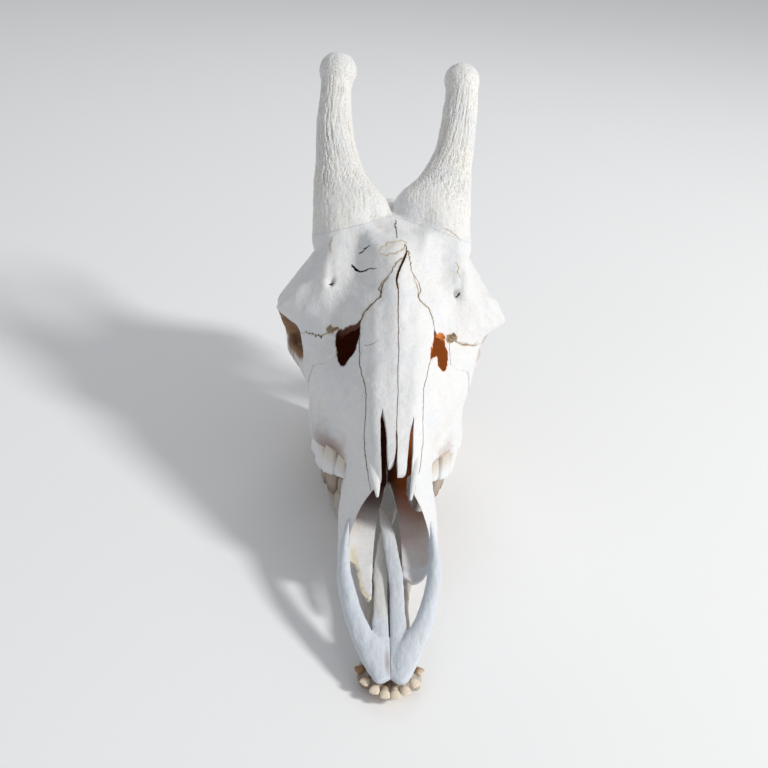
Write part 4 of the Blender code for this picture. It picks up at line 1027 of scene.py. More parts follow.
def new_bone_group():
    """An empty node group with the sockets of dry bone, and its two end nodes."""
    tree = bpy.data.node_groups.new("dry_bone", "ShaderNodeTree")
    colour, number, vector = "NodeSocketColor", "NodeSocketFloat", "NodeSocketVector"
    for kind, labels in ((vector, ("Place",)), (colour, BONE_COLOURS),
                         (number, BONE_NUMBERS + BONE_ATTRIBUTES)):
        for label in labels:
            tree.interface.new_socket(label, in_out="INPUT", socket_type=kind)
    for kind, label in ((colour, "Colour"), (number, "Roughness"), (number, "Height"),
                        (colour, "Light through")):
        tree.interface.new_socket(label, in_out="OUTPUT", socket_type=kind)
    return tree, tree.nodes.new("NodeGroupInput").outputs, tree.nodes.new("NodeGroupOutput").inputs


def dry_bone_group():
    """The group for dry bone: clean bone mottled warm and cool, cream in hollows (dirt with painted shade),
    tan along broken edges and, with painted shade, at the front of the lower jaw, brown patina with painted
    shade in the eye sockets, red-brown stain deepened as painted shade inside the nose, whose wall towards
    the skull's left side takes a brighter orange and a painted glow, and purple-brown spots of painted shade
    and stain, with grain and pores for the bump. Noise scales are cells to the metre."""
    tree, into, out = new_bone_group()
    times, plus, larger = (partial(maths, tree, kind) for kind in ("MULTIPLY", "ADD", "MAXIMUM"))
    blend = partial(blend_colour, tree)
    place = into["Place"]
    large = noise_value(tree, place, 26, 3)
    patch = noise_value(tree, place, 90, 4)
    mottle = noise_value(tree, place, 330, 4, 0.65)
    grain = noise_value(tree, place, 1500, 3, 0.6)
    fibre = noise_value(tree, place, 420, 3, 0.6, stretch=(1, 0.16, 0.4))
    pits = maths(tree, "SUBTRACT", 1, ramp(tree, cell_value(tree, place, 620), 0.10, 0.34))

    cool_share = larger(times(ramp(tree, large, 0.42, 0.66), 0.55), into["Cold"])
    colour = blend(cool_share, into["Clean"], into["Cool"])
    # Cream in hollows: dirt with painted shade
    in_hollows = times(ramp(tree, into["Recess"], 0.62, 1.0), into["Hollows"])
    cream_share = maths(tree, "ADD", times(ramp(tree, patch, 0.48, 0.72), into["Stain"]), in_hollows,
                        clamp=True)
    colour = blend(larger(cream_share, into["Warm"]), colour, into["Cream"])
    colour = blend(times(ramp(tree, mottle, 0.5, 0.8), 0.16), colour, into["Cream"])
    # Tan along sutures, pockets and broken edges; at the front of the lower jaw it is also painted shade
    seam = times(into["Seam"], ramp(tree, plus(mottle, into["Seam"]), 0.55, 1.15))
    colour = blend(times(seam, 0.85), colour, into["Tan"])
    porous = times(pits, larger(into["Pores"], into["Broken"]))
    colour = blend(times(porous, 0.4), colour, into["Tan"])
    broken = ramp(tree, plus(into["Broken"], times(mottle, 0.3)), 0.95, 1.1)
    colour = blend(times(broken, 0.85), colour, opaque(EDGE_DIRT))
    colour = blend(into["Crack"], colour, opaque(CRACK_DARK))

    split = tree.nodes.new("ShaderNodeSeparateXYZ")
    feed(tree, split.inputs[0], place)
    across, back = split.outputs["X"], split.outputs["Y"]
    # Inside the nose: red-brown stain deepened as painted shade. Towards the skull's left side it turns into
    # a brighter orange, a painted lit copy of it
    nose = blend(ramp(tree, across, 0.002, 0.016), into["Inner"], into["Glow"])
    tan_share = times(ramp(tree, patch, 0.45, 0.75), times(ramp(tree, across, -0.006, 0.012), 0.35))
    nose = blend(tan_share, nose, into["Tan"])
    colour = blend(into["Inside"], colour, nose)
    # Eye sockets: two brown tones of patina with painted shade
    socket = blend(ramp(tree, large, 0.3, 0.7), opaque(SOCKET_TONES[0]), opaque(SOCKET_TONES[1]))
    colour = blend(into["Socket"], colour, socket)
    # Spots of painted shade and stain multiply the colour by a purple-brown tone
    shade = times(into["Shade"], ramp(tree, plus(patch, into["Shade"]), 0.5, 1.1))
    colour = blend(shade, colour, opaque(SHADED_TONE), "MULTIPLY")
    feed(tree, out["Colour"], colour)

    # Painted glow: towards the skull's left side, the inside of the nose gives off its own colour as light,
    # though no lamp is there
    through = times(into["Inside"], ramp(tree, across, 0.006, 0.02))
    through = times(through, ramp(tree, back, -0.03, 0.0))
    feed(tree, out["Light through"], blend(through, opaque((0, 0, 0)), nose))
    feed(tree, out["Roughness"], plus(times(mottle, 0.3), 0.42))
    height = plus(times(grain, 0.35), times(fibre, into["Fibre"]))
    height = plus(plus(height, times(patch, 1.6)), times(mottle, 0.9))
    feed(tree, out["Height"], maths(tree, "SUBTRACT", height, times(porous, 1.2)))
    return tree


def attribute_value(tree, name):
    """The value of a named attribute of the mesh."""
    node = tree.nodes.new("ShaderNodeAttribute")
    node.attribute_type = "GEOMETRY"
    node.attribute_name = name
    return node.outputs["Fac"]


def new_material(name):
    """A material with its node tree, its shader and the place in the object's own coordinates."""
    material = bpy.data.materials.new(name)
    material.use_nodes = True
    tree = material.node_tree
    place = tree.nodes.new("ShaderNodeTexCoord").outputs["Object"]
    return material, tree, tree.nodes["Principled BSDF"], place


def add_bump(tree, shader, height, strength, distance):
    """Gives a shader a bump from a height."""
    bump = tree.nodes.new("ShaderNodeBump")
    bump.inputs["Strength"].default_value = strength
    bump.inputs["Distance"].default_value = distance
    feed(tree, bump.inputs["Height"], height)
    feed(tree, shader.inputs["Normal"], bump.outputs[0])


def bone_material(name, **values):
    """A material of dry bone; its values are named like the colours and numbers of the group."""
    material, tree, shader, place = new_material(name)
    group = tree.nodes.new("ShaderNodeGroup")
    group.node_tree = bpy.data.node_groups.get("dry_bone") or dry_bone_group()
    feed(tree, group.inputs["Place"], place)
    for label in BONE_COLOURS:
        group.inputs[label].default_value = opaque(values[label.lower()])
    for label in BONE_NUMBERS:
        group.inputs[label].default_value = values[label.lower()]
    for label in BONE_ATTRIBUTES:
        feed(tree, group.inputs[label], attribute_value(tree, label.lower()))
    feed(tree, shader.inputs["Base Color"], group.outputs["Colour"])
    feed(tree, shader.inputs["Roughness"], group.outputs["Roughness"])
    feed(tree, shader.inputs["Emission Color"], group.outputs["Light through"])
    # Strength of the painted glow inside the nose
    shader.inputs["Emission Strength"].default_value = NOSE_LIGHT
    shader.inputs["Specular IOR Level"].default_value = 0.35
    add_bump(tree, shader, group.outputs["Height"], 0.6, 0.0011)
    return material


def tooth_material(name, enamel, stain, pit):
    """Tooth: enamel darkening to a stained neck, with dark hollows of stain and painted shade, and fine
    upright lines.
    """
    material, tree, shader, place = new_material(name)
    mottle = noise_value(tree, place, 420, 4, 0.6)
    neck = attribute_value(tree, "neck")
    hollow = attribute_value(tree, "recess")
    neck_share = maths(tree, "MULTIPLY", neck, ramp(tree, maths(tree, "ADD", mottle, neck), 0.5, 1.3))
    colour = blend_colour(tree, neck_share, opaque(enamel), opaque(stain))
    # Dark hollows: stain with painted shade
    colour = blend_colour(tree, ramp(tree, hollow, 0.55, 1.0), colour, opaque(pit))
    feed(tree, shader.inputs["Base Color"], colour)
    roughness = maths(tree, "ADD", maths(tree, "MULTIPLY", mottle, 0.25), 0.25)
    feed(tree, shader.inputs["Roughness"], roughness)
    add_bump(tree, shader, noise_value(tree, place, 900, 3, 0.6, stretch=(1, 1, 0.2)), 0.3, 0.0004)
    return material


# Regions that part the fused skull into its bones, in millimetres; grow widens them by the gap
# wherever a side runs through bone

def nasal_region(edge, side, grow):
    """A nasal bone: from the midline seam to its outer edge, which wanders most on the brow, and as
    deep as the bone is thick."""
    ys = np.unique(np.concatenate([np.array(list(edge), float), np.arange(118, max(edge), 0.8)]))
    ys[-1] += grow
    line = np.stack([ys, ys * 0 + side * 9.5, ys * 0], axis=-1)
    ragged_edge = 1.2 * lattice_noise(line, 5.2, 3) + 1.1 * lattice_noise(line, 2.3, 4)
    outer = column(edge, ys) + grow
    outer += np.maximum(fade(ys, 285, 305), 0.25) * ragged_edge
    gape = column(NASAL_SEAM_GAPE, ys)
    wander = lattice_noise(line * [1, 0, 1], 6.1, 8) * 0.35 * side
    inner = column(NASAL_SEAM, ys) * side + wander + (gape if grow == 0 else -gape) / 2
    low = column(NASAL_UNDERSIDE, ys) - grow
    return strip_block(ys, np.minimum(inner, outer - 0.4), outer, low, low * 0 + NASAL_ABOVE, across=6,
                       tall=40)


def cheek_regions(grow):
    """The left lacrimal and cheek bone: between the sutures in front of and above the eye socket,
    the socket's front rim, and the arch under it."""
    ys = np.arange(281.7 - grow, 326 + grow, 1.5)
    blade = strip_block(ys, column(CHEEK_REAR, ys) - grow, column(CHEEK_FRONT, ys) + grow,
                        ys * 0 + (42 - grow), ys * 0 + 135, across=14, tall=30, end_rings=8)
    rim = box(60 - grow, 130, 304, 350 + grow, 40 - grow, 99 + grow, 3)
    arch = box(64 - grow, 130, 339, 428 + grow, 10, 66 + grow, 3)
    return [ragged(form, 0.5) for form in (blade, rim, arch)]


def maxilla_regions(grow):
    """The left maxilla: all of the face in front, and the wall and tooth block further back."""
    face = box(0.2 - grow, 110, 60, 297 + grow, -20, 175, 3)
    wall = box(0.2 - grow, 62 + grow, 290, 338 + grow, -20, 103 + grow)
    tooth_block = box(0.2 - grow, 95, 290, 354 + grow, -20, TOOTH_BLOCK_TOP + grow, 3)
    return [ragged(face, 0.4), wall, ragged(tooth_block, 0.4)]


def horn_region(side, grow):
    """All of a horn above the line where it grows on the brow, on its side of the seam between
    the horns, with a ragged foot."""
    up = np.array(HORN_FOOT_UP) / np.linalg.norm(HORN_FOOT_UP)
    stations = [(x, y, z, wide + grow, high + grow) for x, y, z, wide, high in HORN_SPACE]
    around = 96
    form = tube(stations, rows=60, around=around, end_rings=0)
    points, *faces = ragged(ragged(form, 1.8, 14), 0.9, 4.5)
    points[:around] -= up * grow
    points[-2] -= up * grow
    points[:, 0] = np.maximum(points[:, 0], HORN_SEAM * side - grow)
    return (points,) + tuple(faces)


# Pieces

def relief_height(points, lines):
    """Height of the relief over a plan: each line is a bump or groove with a bell-shaped section,
    whose height falls off with the distance from the line."""
    total = np.zeros(len(points))
    for x0, y0, x1, y1, width, height in lines:
        a, d = np.array([x0, y0], float), np.array([x1 - x0, y1 - y0], float)
        t = np.clip((points[:, :2] - a) @ d / max(d @ d, 1e-6), 0, 1)
        away = np.linalg.norm(points[:, :2] - a - t[:, None] * d, axis=1)
        total += height * np.exp(-(away / width) ** 2)
    return total


def fused_skull(voxel, relief):
    """Fuses the upper skull and gives it its relief."""
    forms = [outline_loft(HEAD, rows=260, around=180)]
    forms += both([tube(ORBIT_BAR), tube(ORBIT_FLOOR), tube(CHEEK_ARCH, rows=90), tube(JAW_SOCKET),
                   tube(PTERYGOID), tube(CONDYLE), tube(PAROCCIPITAL), tube(EAR_BULLA)])
    for _, side, stations, knob in HORNS:
        shaft = tube(stations, rows=90, around=80, level=True)
        forms += to_side([shaft, ball(knob[:3], (knob[3],) * 3)], side)
    forms += [tube(HORN_SADDLE), tube(NUCHAL_CREST, rows=70, side=(0, 1, 0)), tube(OCCIPUT_RIDGE)]
    forms += [ragged_block(PLATE_LEFT, PLATE_LEVELS, 2, [(1.1, 5)]),
              ragged_block(PLATE_RIGHT, PLATE_LEVELS, 2, [(0.8, 5)], -1)]
    whole = fuse("skull", forms, voxel, rounds=9)
    mesh = whole.data
    points, normals = read_points(mesh), read_normals(mesh)
    y, z = points[:, 1], points[:, 2]
    roof = np.clip(normals[:, 2] * 2, 0, 1) * fade(z, 60, 80)
    horn = fade(y, 425, 445) * fade(z, 200, 215)
    height = relief_height(points, RELIEF) * roof
    height += relief * waves(points, SKULL_WAVES) * (1 - 0.6 * horn)
    write_points(mesh, points + normals * height[:, None])
    return whole


def on_surface(tree, pixel):
    """The place and outward direction where the camera's line of sight through a pixel of the photo
    meets the surface."""
    x, y = (np.array(pixel) - PHOTO_SIZE / 2) * SENSOR / (PHOTO_SIZE * CAMERA_LENS)
    sight = x * np.array(CAMERA_RIGHT) - y * np.array(CAMERA_UP) - np.array(CAMERA_BACK)
    place, normal = tree.ray_cast(Vector(CAMERA_PLACE), Vector(sight))[:2]
    if place is None:
        raise RuntimeError(f"nothing of the skull lies at pixel {pixel}")
    return np.array(place), np.array(normal)


def surface_path(tree, line, seed):
    """Points along a line of the photo, set on the surface and wandering a little to both sides, with
    the outward direction at each."""
    line = np.array(line, float)
    length = path_length(line)
    at = np.arange(0, length[-1], PATH_STEP)
    pixels = np.stack([np.interp(at, length, line[:, k]) for k in (0, 1)], axis=-1)
    probe = np.stack([at, at * 0 + seed * 7.3, at * 0], axis=-1)
    pixels += PATH_WANDER * np.stack([layered_noise(probe, 4, seed), layered_noise(probe, 4, seed + 9)],
                                     axis=-1)
    hits = [on_surface(tree, pixel) for pixel in pixels]
    return np.array([hit[0] for hit in hits]), np.array([hit[1] for hit in hits])


def crack(places, normals, gape, depth):
    """A crack's cutting form: a narrow wedge carried along a path on the surface. Each section has
    five corners: two above the surface, two part of the way down and the wedge's edge at the depth.
    Its width varies by a noise along the path, and both ends are thin."""
    along = np.gradient(places, axis=0)
    along /= np.linalg.norm(along, axis=1)[:, None]
    smooth = np.stack([np.convolve(np.pad(normals[:, k], 4, mode="edge"), np.ones(9) / 9, "valid")
                       for k in range(3)], -1)
    across = np.cross(along, smooth)
    across /= np.linalg.norm(across, axis=1)[:, None]
    share = np.linspace(0, 1, len(places))
    taper = np.clip(np.minimum(share, 1 - share) * 5, 0.12, 1)[:, None]
    half = across * (gape / 2 * taper * (1 + 0.45 * lattice_noise(places, 2.6, 17))[:, None])
    down = smooth * (depth * np.maximum(taper, 0.3))
    above, inward = places + smooth * 2.5, places - down * 0.6
    rings = np.stack([above - half, above + half, inward + half * 0.55, places - down,
                      inward - half * 0.55], axis=1)
    return closed_grid(rings)


class BoneSettings(bpy.types.PropertyGroup):
    """Cell sizes, gaps and colours of the bones"""
    voxel: FloatProperty(
        name="Grain of the form", description="Edge of the cells in which the skull's forms are fused",
        default=0.0017, min=0.0012, max=0.004, unit="LENGTH")
    fine_voxel: FloatProperty(
        name="Grain of slim bones", description="Edge of the cells for the muzzle bars",
        default=0.001, min=0.0006, max=0.002, unit="LENGTH")
    gap: FloatProperty(
        name="Suture gap", description="Gap between neighbouring bones",
        default=0.00045, min=0, max=0.002, unit="LENGTH")
    relief: FloatProperty(
        name="Relief", description="Strength of the surface's unevenness", default=1.3, min=0, max=3)
    clean: FloatVectorProperty(
        name="Clean bone", description="Colour of clean, bleached bone",
        default=(0.84, 0.835, 0.83), subtype="COLOR", min=0, max=1)
    cool: FloatVectorProperty(
        name="Cool bone", description="Colour of the greyer patches",
        default=(0.76, 0.785, 0.82), subtype="COLOR", min=0, max=1)
    cream: FloatVectorProperty(
        name="Hollows", description="Colour of bone in hollows",
        default=(0.74, 0.66, 0.53), subtype="COLOR", min=0, max=1)
    tan: FloatVectorProperty(
        name="Sutures", description="Colour of the stain along sutures and broken edges",
        default=(0.42, 0.27, 0.13), subtype="COLOR", min=0, max=1)
    # Inside the nose: red-brown stain, darkened further as painted shade
    inner: FloatVectorProperty(
        name="Inside the nose", description="Colour of the bone inside the nose",
        default=(0.10, 0.028, 0.014), subtype="COLOR", min=0, max=1)


class HornSettings(bpy.types.PropertyGroup):
    """Surface and colour of the two horns"""
    groove: FloatProperty(
        name="Groove depth", description="Depth of the grooves along the horns",
        default=0.0010, min=0, max=0.003, unit="LENGTH")
    pit: FloatProperty(
        name="Pit depth", description="Depth of the pits on the knobs",
        default=0.0012, min=0, max=0.003, unit="LENGTH")
    colour: FloatVectorProperty(
        name="Horn bone", description="Colour of the horns",
        default=(0.85, 0.84, 0.81), subtype="COLOR", min=0, max=1)


class ToothSettings(bpy.types.PropertyGroup):
    """Fineness and colours of the teeth"""
    around: IntProperty(
        name="Points round a crown", description="Number of points in each ring of a crown",
        default=96, min=24, max=200)
    enamel: FloatVectorProperty(
        name="Cheek teeth", description="Colour of the cheek teeth",
        default=(0.87, 0.88, 0.89), subtype="COLOR", min=0, max=1)
    front: FloatVectorProperty(
        name="Front teeth", description="Colour of the front teeth",
        default=(0.83, 0.71, 0.56), subtype="COLOR", min=0, max=1)


class StageSettings(bpy.types.PropertyGroup):
    """Floor and lights of the studio"""
    floor: FloatVectorProperty(
        name="Floor", description="Colour of the floor",
        default=(0.95, 0.95, 0.95), subtype="COLOR", min=0, max=1)
    light: FloatProperty(
        name="Light", description="Strength of the large soft lights", default=1.0, min=0, max=5)


def skull_material(name, pores, stain, **changes):
    """Bone in the skull's own colours, with its shares of pores and of cream patches."""
    bone = bpy.context.scene.giraffe_bone
    values = {label: getattr(bone, label) for label in ("clean", "cool", "cream", "tan", "inner")}
    values.update(glow=NOSE_GLOW, pores=pores, stain=stain, fibre=0.35, hollows=0.3)
    values.update(changes)
    return bone_material(name, **values)


class GIRAFFE_OT_fused_skull(bpy.types.Operator):
    """Fuse the upper skull, hollow the nose, and open the cracks of the brow"""
    bl_idname = "giraffe.fused_skull"
    bl_label = "Fused skull"

    def execute(self, context):
        bone = context.scene.giraffe_bone
        whole = fused_skull(bone.voxel / MM * (1), bone.relief)
        tree = BVHTree.FromObject(whole, context.evaluated_depsgraph_get())
        cracks = [(crack(*surface_path(tree, line, 40 + i), gape, depth), tag)
                  for i, (tag, gape, depth, line) in enumerate(BROW_LINES)]
        pockets = [ragged(ball(on_surface(tree, pixel)[0], radii), strength=2, size=3.6)
                   for pixel, radii in POCKETS]
        pores = [(ball(on_surface(tree, pixel)[0], (PORE_RADIUS,) * 3, rows=10, around=16), CRACK)
                 for pixel in PORES]
        openings = [ragged_block(outline, OPENING_LEVELS, 1.0, edges, side)
                    for outline, edges, side in OPENINGS]
        slots = [ragged_block(outline, SLOT_LEVELS, 1.2, edges, side) for outline, edges, side in SLOTS]
        slots += [upright_block(PALATE_GAP, *PALATE_GAP_LEVELS, 2), tube(SPINAL_HOLE)]
        cut(whole, [outline_loft(CAVITY, rows=120, around=120)], tag=INSIDE_NOSE)
        cut(whole, pockets, tag=POCKET)
        cut(whole, openings, tag=INSIDE_NOSE)
        cut(whole, slots, tag=OUTSIDE)
        for form, tag in cracks + pores:
            cut(whole, [form], tag=tag)
        keep_largest(whole)
        workbench["whole"] = whole
        return {"FINISHED"}


class GIRAFFE_OT_nasals(bpy.types.Operator):
    """Part the two forked nasal bones off the skull"""
    bl_idname = "giraffe.nasals"
    bl_label = "Nasal bones"

    def execute(self, context):
        bone = context.scene.giraffe_bone
        material = skull_material("nasal_bone", pores=0.2, stain=0.03)
        edges, prongs = (NASAL_EDGE_LEFT, NASAL_EDGE_RIGHT), (PRONG_LEFT, PRONG_RIGHT)
        for (name, side), edge, prong in zip(SIDES, edges, prongs):
            piece = part_off(workbench["whole"], f"nasal_bone_{name}",
                             lambda grow: to_side([nasal_region(edge, side, grow)], side), bone.gap / MM)
            cut(piece, to_side([tube(prong, rows=40, around=24, end_rings=4)], side), "UNION", OUTSIDE)
            keep_largest(piece)
            add_wear(piece)
            finish_piece(piece, material, f"nasal_{name}")
        return {"FINISHED"}


def horn_relief(points, side, stations, knob, groove, pit):
    """Height of a horn's surface. Along the horn run grooves and small pores, noises read at the place
    round the horn's axis and a tenth of the place along it; they are faint near the foot and on the
    inner side. The knob has round pits and low swellings instead."""
    local = points * [side, 1, 1]
    path = np.array(stations)[:, :3]
    length = path_length(path)
    at = np.linspace(0, length[-1] + KNOB_BEYOND, 160)
    axis = curve(length, path, at)
    tip_direction = (path[-1] - path[-2]) / np.linalg.norm(path[-1] - path[-2])
    near = np.argmin(np.linalg.norm(local[:, None, :] - axis[None, ::4], axis=2), axis=1) * 4
    off = local - axis[near]
    along = at[near] + off @ tip_direction
    fibre = np.stack([off[:, 0], off[:, 1] * HORN_LEAN[0] - off[:, 2] * HORN_LEAN[1], along * 0.10], axis=-1)

    from_knob = np.linalg.norm(local - np.array(knob[:3]), axis=1) - knob[3]
    on_knob = (1 - fade(from_knob, -1.5, 4.5)) * fade(along, length[-1] - 12, length[-1] - 2)
    grooves = -np.abs(layered_noise(fibre, 2.3, 61, 2)) + 0.3 + 0.4 * layered_noise(fibre, 1.0, 71, 2)
    pores = -np.clip(0.28 - cell_distance(fibre * [1, 1, 2.2], 1.9, 91), 0, 1) * 4
    pits = -np.clip(0.45 - cell_distance(points, 2.1, 81), 0, 1) * 2.4
    swellings = 0.35 * layered_noise(points, 5.5, 95, 2)
    up_the_horn = np.clip((along - 12) / 55, 0.3, 1)
    outer_side = np.clip((local[:, 0] - 10 + (points[:, 2] - 190) * 0.8) / 22, 0.12, 1)
    on_shaft = (1 - on_knob) * up_the_horn * outer_side
    return groove * (grooves + 0.6 * pores) * on_shaft + (pit * pits + swellings) * on_knob


class GIRAFFE_OT_horns(bpy.types.Operator):
    """Part the two horns off the brow, and work their grooves and pits"""
    bl_idname = "giraffe.horns"
    bl_label = "Horns"

    def execute(self, context):
        bone, horn = context.scene.giraffe_bone, context.scene.giraffe_horn
        # The horns' hollows take a darker cream: dirt with painted shade in the grooves
        material = skull_material("horn_bone", pores=0.5, stain=0.06, hollows=0.62, clean=horn.colour,
                                  cream=HORN_HOLLOWS)
        for name, side, stations, knob in HORNS:
            piece = part_off(workbench["whole"], f"horn_{name}",
                             lambda grow: to_side([horn_region(side, grow)], side), 0.3 * bone.gap / MM)
            finer = piece.modifiers.new("finer", "SUBSURF")
            finer.subdivision_type = "SIMPLE"
            finer.levels = finer.render_levels = 1
            settle(piece)
            mesh = piece.data
            points, normals = read_points(mesh), read_normals(mesh)
            height = horn_relief(points, side, stations, knob, horn.groove / MM, horn.pit / MM)
            height *= 1 - corners_with_tag(mesh, BROKEN_EDGE)
            write_points(mesh, points + normals * height[:, None])
            add_wear(piece, scale=0.6, stain_rounds=4, stain=0.5)
            finish_piece(piece, material, f"ossicone_{name}")
        return {"FINISHED"}


class GIRAFFE_OT_cheeks(bpy.types.Operator):
    """Part the two cheek bones off the skull"""
    bl_idname = "giraffe.cheeks"
    bl_label = "Cheek bones"

    def execute(self, context):
        bone = context.scene.giraffe_bone
        material = skull_material("cheek_bone", pores=0.3, stain=0.05)
        for name, side in SIDES:
            piece = part_off(workbench["whole"], f"cheek_bone_{name}",
                             lambda grow: to_side(cheek_regions(grow), side), bone.gap / MM)
            add_wear(piece)
            finish_piece(piece, material, f"cheek_{name}")
        return {"FINISHED"}


def socket_step():
    """All that lies outside and below the sockets' edge: what it cuts off the maxilla lets the
    crowns stand out from the bone."""
    ys = np.arange(min(SOCKET_EDGE), max(SOCKET_EDGE), 1.0)
    return strip_block(ys, column(UPPER_ROW, ys) - SOCKET_STEP, ys * 0 + 110, ys * 0 - 25,
                       column(SOCKET_EDGE, ys), across=20, tall=30, end_rings=6)


def colour_plate(piece, left):
    """Colours the floor of the nose in front: orange-brown on the left plate, and a beige porous
    strip along the outer side of the right one."""
    mesh = piece.data
    x, y, z = read_points(mesh).T
    side = np.abs(x)
    floor = fade(z, 14, 10) * fade(side, 36, 33) * fade(y, 205, 185)
    inside = np.empty(len(x), np.float32)
    mesh.attributes["inside"].data.foreach_get("value", inside)
    if left:
        write_value(mesh, "inside", np.maximum(inside, 0.36 * floor * fade(y, 122, 147)))
    else:
        write_value(mesh, "inside", inside * (1 - 0.85 * floor))
        by_edge = np.clip((side - table(PLATE_RIGHT, y)[:, 1] + 5) / 1.5, 0, 1)
        write_value(mesh, "warm", floor * by_edge * fade(y, 140, 130))


class GIRAFFE_OT_maxillae(bpy.types.Operator):
    """Part the two maxillae off the skull, with room for the muzzle bars and the nasals' prongs"""
    bl_idname = "giraffe.maxillae"
    bl_label = "Maxillae"

    def execute(self, context):
        bone = context.scene.giraffe_bone
        material = skull_material("maxilla_bone", pores=0.3, stain=0.05)
        tongues, prongs = (MUZZLE_TONGUE_LEFT, MUZZLE_TONGUE_RIGHT), (PRONG_LEFT, PRONG_RIGHT)
        for (name, side), tongue, prong in zip(SIDES, tongues, prongs):
            piece = part_off(workbench["whole"], f"maxilla_bone_{name}",
                             lambda grow: to_side(maxilla_regions(grow), side), bone.gap / MM)
            for stations, room in ((MUZZLE_BAR, 0.15), (tongue, 0.4), (prong, 0.5)):
                grown = [(x, y, z, wide + room, high + room) for x, y, z, wide, high in stations]
                cut(piece, to_side([tube(grown, rows=90, around=40)], side), tag=OUTSIDE)
            cut(piece, to_side([ragged(socket_step(), 0.5, 6)], side), tag=OUTSIDE)
            keep_largest(piece)
            add_wear(piece)
            colour_plate(piece, side > 0)
            finish_piece(piece, material, f"maxilla_{name}")
        return {"FINISHED"}


class GIRAFFE_OT_braincase(bpy.types.Operator):
    """Finish the brow, eye sockets and braincase, which are left of the fused skull"""
    bl_idname = "giraffe.braincase"
    bl_label = "Brow and braincase"

    def execute(self, context):
        piece = workbench.pop("whole")
        keep_largest(piece)
        piece.name = "braincase"
        add_wear(piece)
        material = skull_material("braincase_bone", pores=0.25, stain=0.05)
        finish_piece(piece, material, "cranium")
        return {"FINISHED"}


class GIRAFFE_OT_muzzle(bpy.types.Operator):
    """Build the two premaxillae: the open bars of the muzzle and their tongues"""
    bl_idname = "giraffe.muzzle"
    bl_label = "Muzzle bars"

    def execute(self, context):
        bone = context.scene.giraffe_bone
        material = skull_material("premaxilla_bone", pores=0.25, stain=0.15, cool=MUZZLE_COOL)
        midline = box(-30, MUZZLE_HALF_GAP, -30, MUZZLE_BODY_END, -30, 30)
        tongues, warmths = (MUZZLE_TONGUE_LEFT, MUZZLE_TONGUE_RIGHT), (0.05, 0.4)
        for (name, side), tongue, warm in zip(SIDES, tongues, warmths):
            forms = [tube(MUZZLE_BAR, rows=160, around=48), tube(MUZZLE_BODY, rows=40, around=40),
                     tube(tongue, rows=120, around=32)]
            piece = fuse(f"muzzle_bar_{name}", to_side(forms, side), bone.fine_voxel / MM, rounds=6)
            cut(piece, to_side([midline], side), tag=OUTSIDE)
            keep_largest(piece)
            mesh = piece.data
            points, normals = read_points(mesh), read_normals(mesh)
            across, back = np.abs(points[:, 0]), points[:, 1]
            height = bone.relief * np.clip(across - 0.3, 0, 1) * waves(points, MUZZLE_WAVES)
            write_points(mesh, points + normals * height[:, None])
            add_wear(piece)
            on_tongue = warm * fade(across, 15, 12) * fade(back, 55, 75)
            write_value(mesh, "warm", on_tongue)
            write_value(mesh, "cold", 0.8 * fade(back, 170, 130) * (1 - on_tongue))
            finish_piece(piece, material, f"premaxilla_{name}")
        return {"FINISHED"}


def floor_block():
    """A block far wider than the skull that lies under the floor, tipped to the skull's own frame."""
    points, *faces = box(-200, 200, -200, 700, REST_LEVEL - 100, REST_LEVEL)
    c, s = math.cos(REST_PITCH), math.sin(REST_PITCH)
    x, y, z = points.T
    return (np.stack([x, y * c + z * s, z * c - y * s], axis=-1),) + tuple(faces)


class GIRAFFE_OT_jaws(bpy.types.Operator):
    """Build the two halves of the lower jaw"""
    bl_idname = "giraffe.jaws"
    bl_label = "Lower jaw"

    def execute(self, context):
        bone = context.scene.giraffe_bone
        # The lower jaw's bone: its stain darkened as painted shade, for it lies under the upper skull
        material = skull_material("mandible_bone", pores=0.35, stain=0.8, **JAW_COLOURS)
        forms = [tube(JAW_BODY, rows=200, around=64), tube(JAW_RAMUS, rows=90, around=64), tube(JAW_CONDYLE),
                 tube(JAW_CORONOID)]
        half = box(JAW_HALF_GAP, 120, -60, 500, -120, 150)
        for name, side in SIDES:
            piece = fuse(f"lower_jaw_{name}", to_side(forms, side), bone.voxel / MM, rounds=8)
            mesh = piece.data
            points, normals = read_points(mesh), read_normals(mesh)
            height = bone.relief * waves(points, JAW_WAVES)
            write_points(mesh, points + normals * height[:, None])
            cut(piece, to_side([half], side), "INTERSECT")
            cut(piece, [floor_block()], tag=OUTSIDE)
            keep_largest(piece)
            add_wear(piece)
            finish_piece(piece, material, f"mandible_{name}")
        return {"FINISHED"}


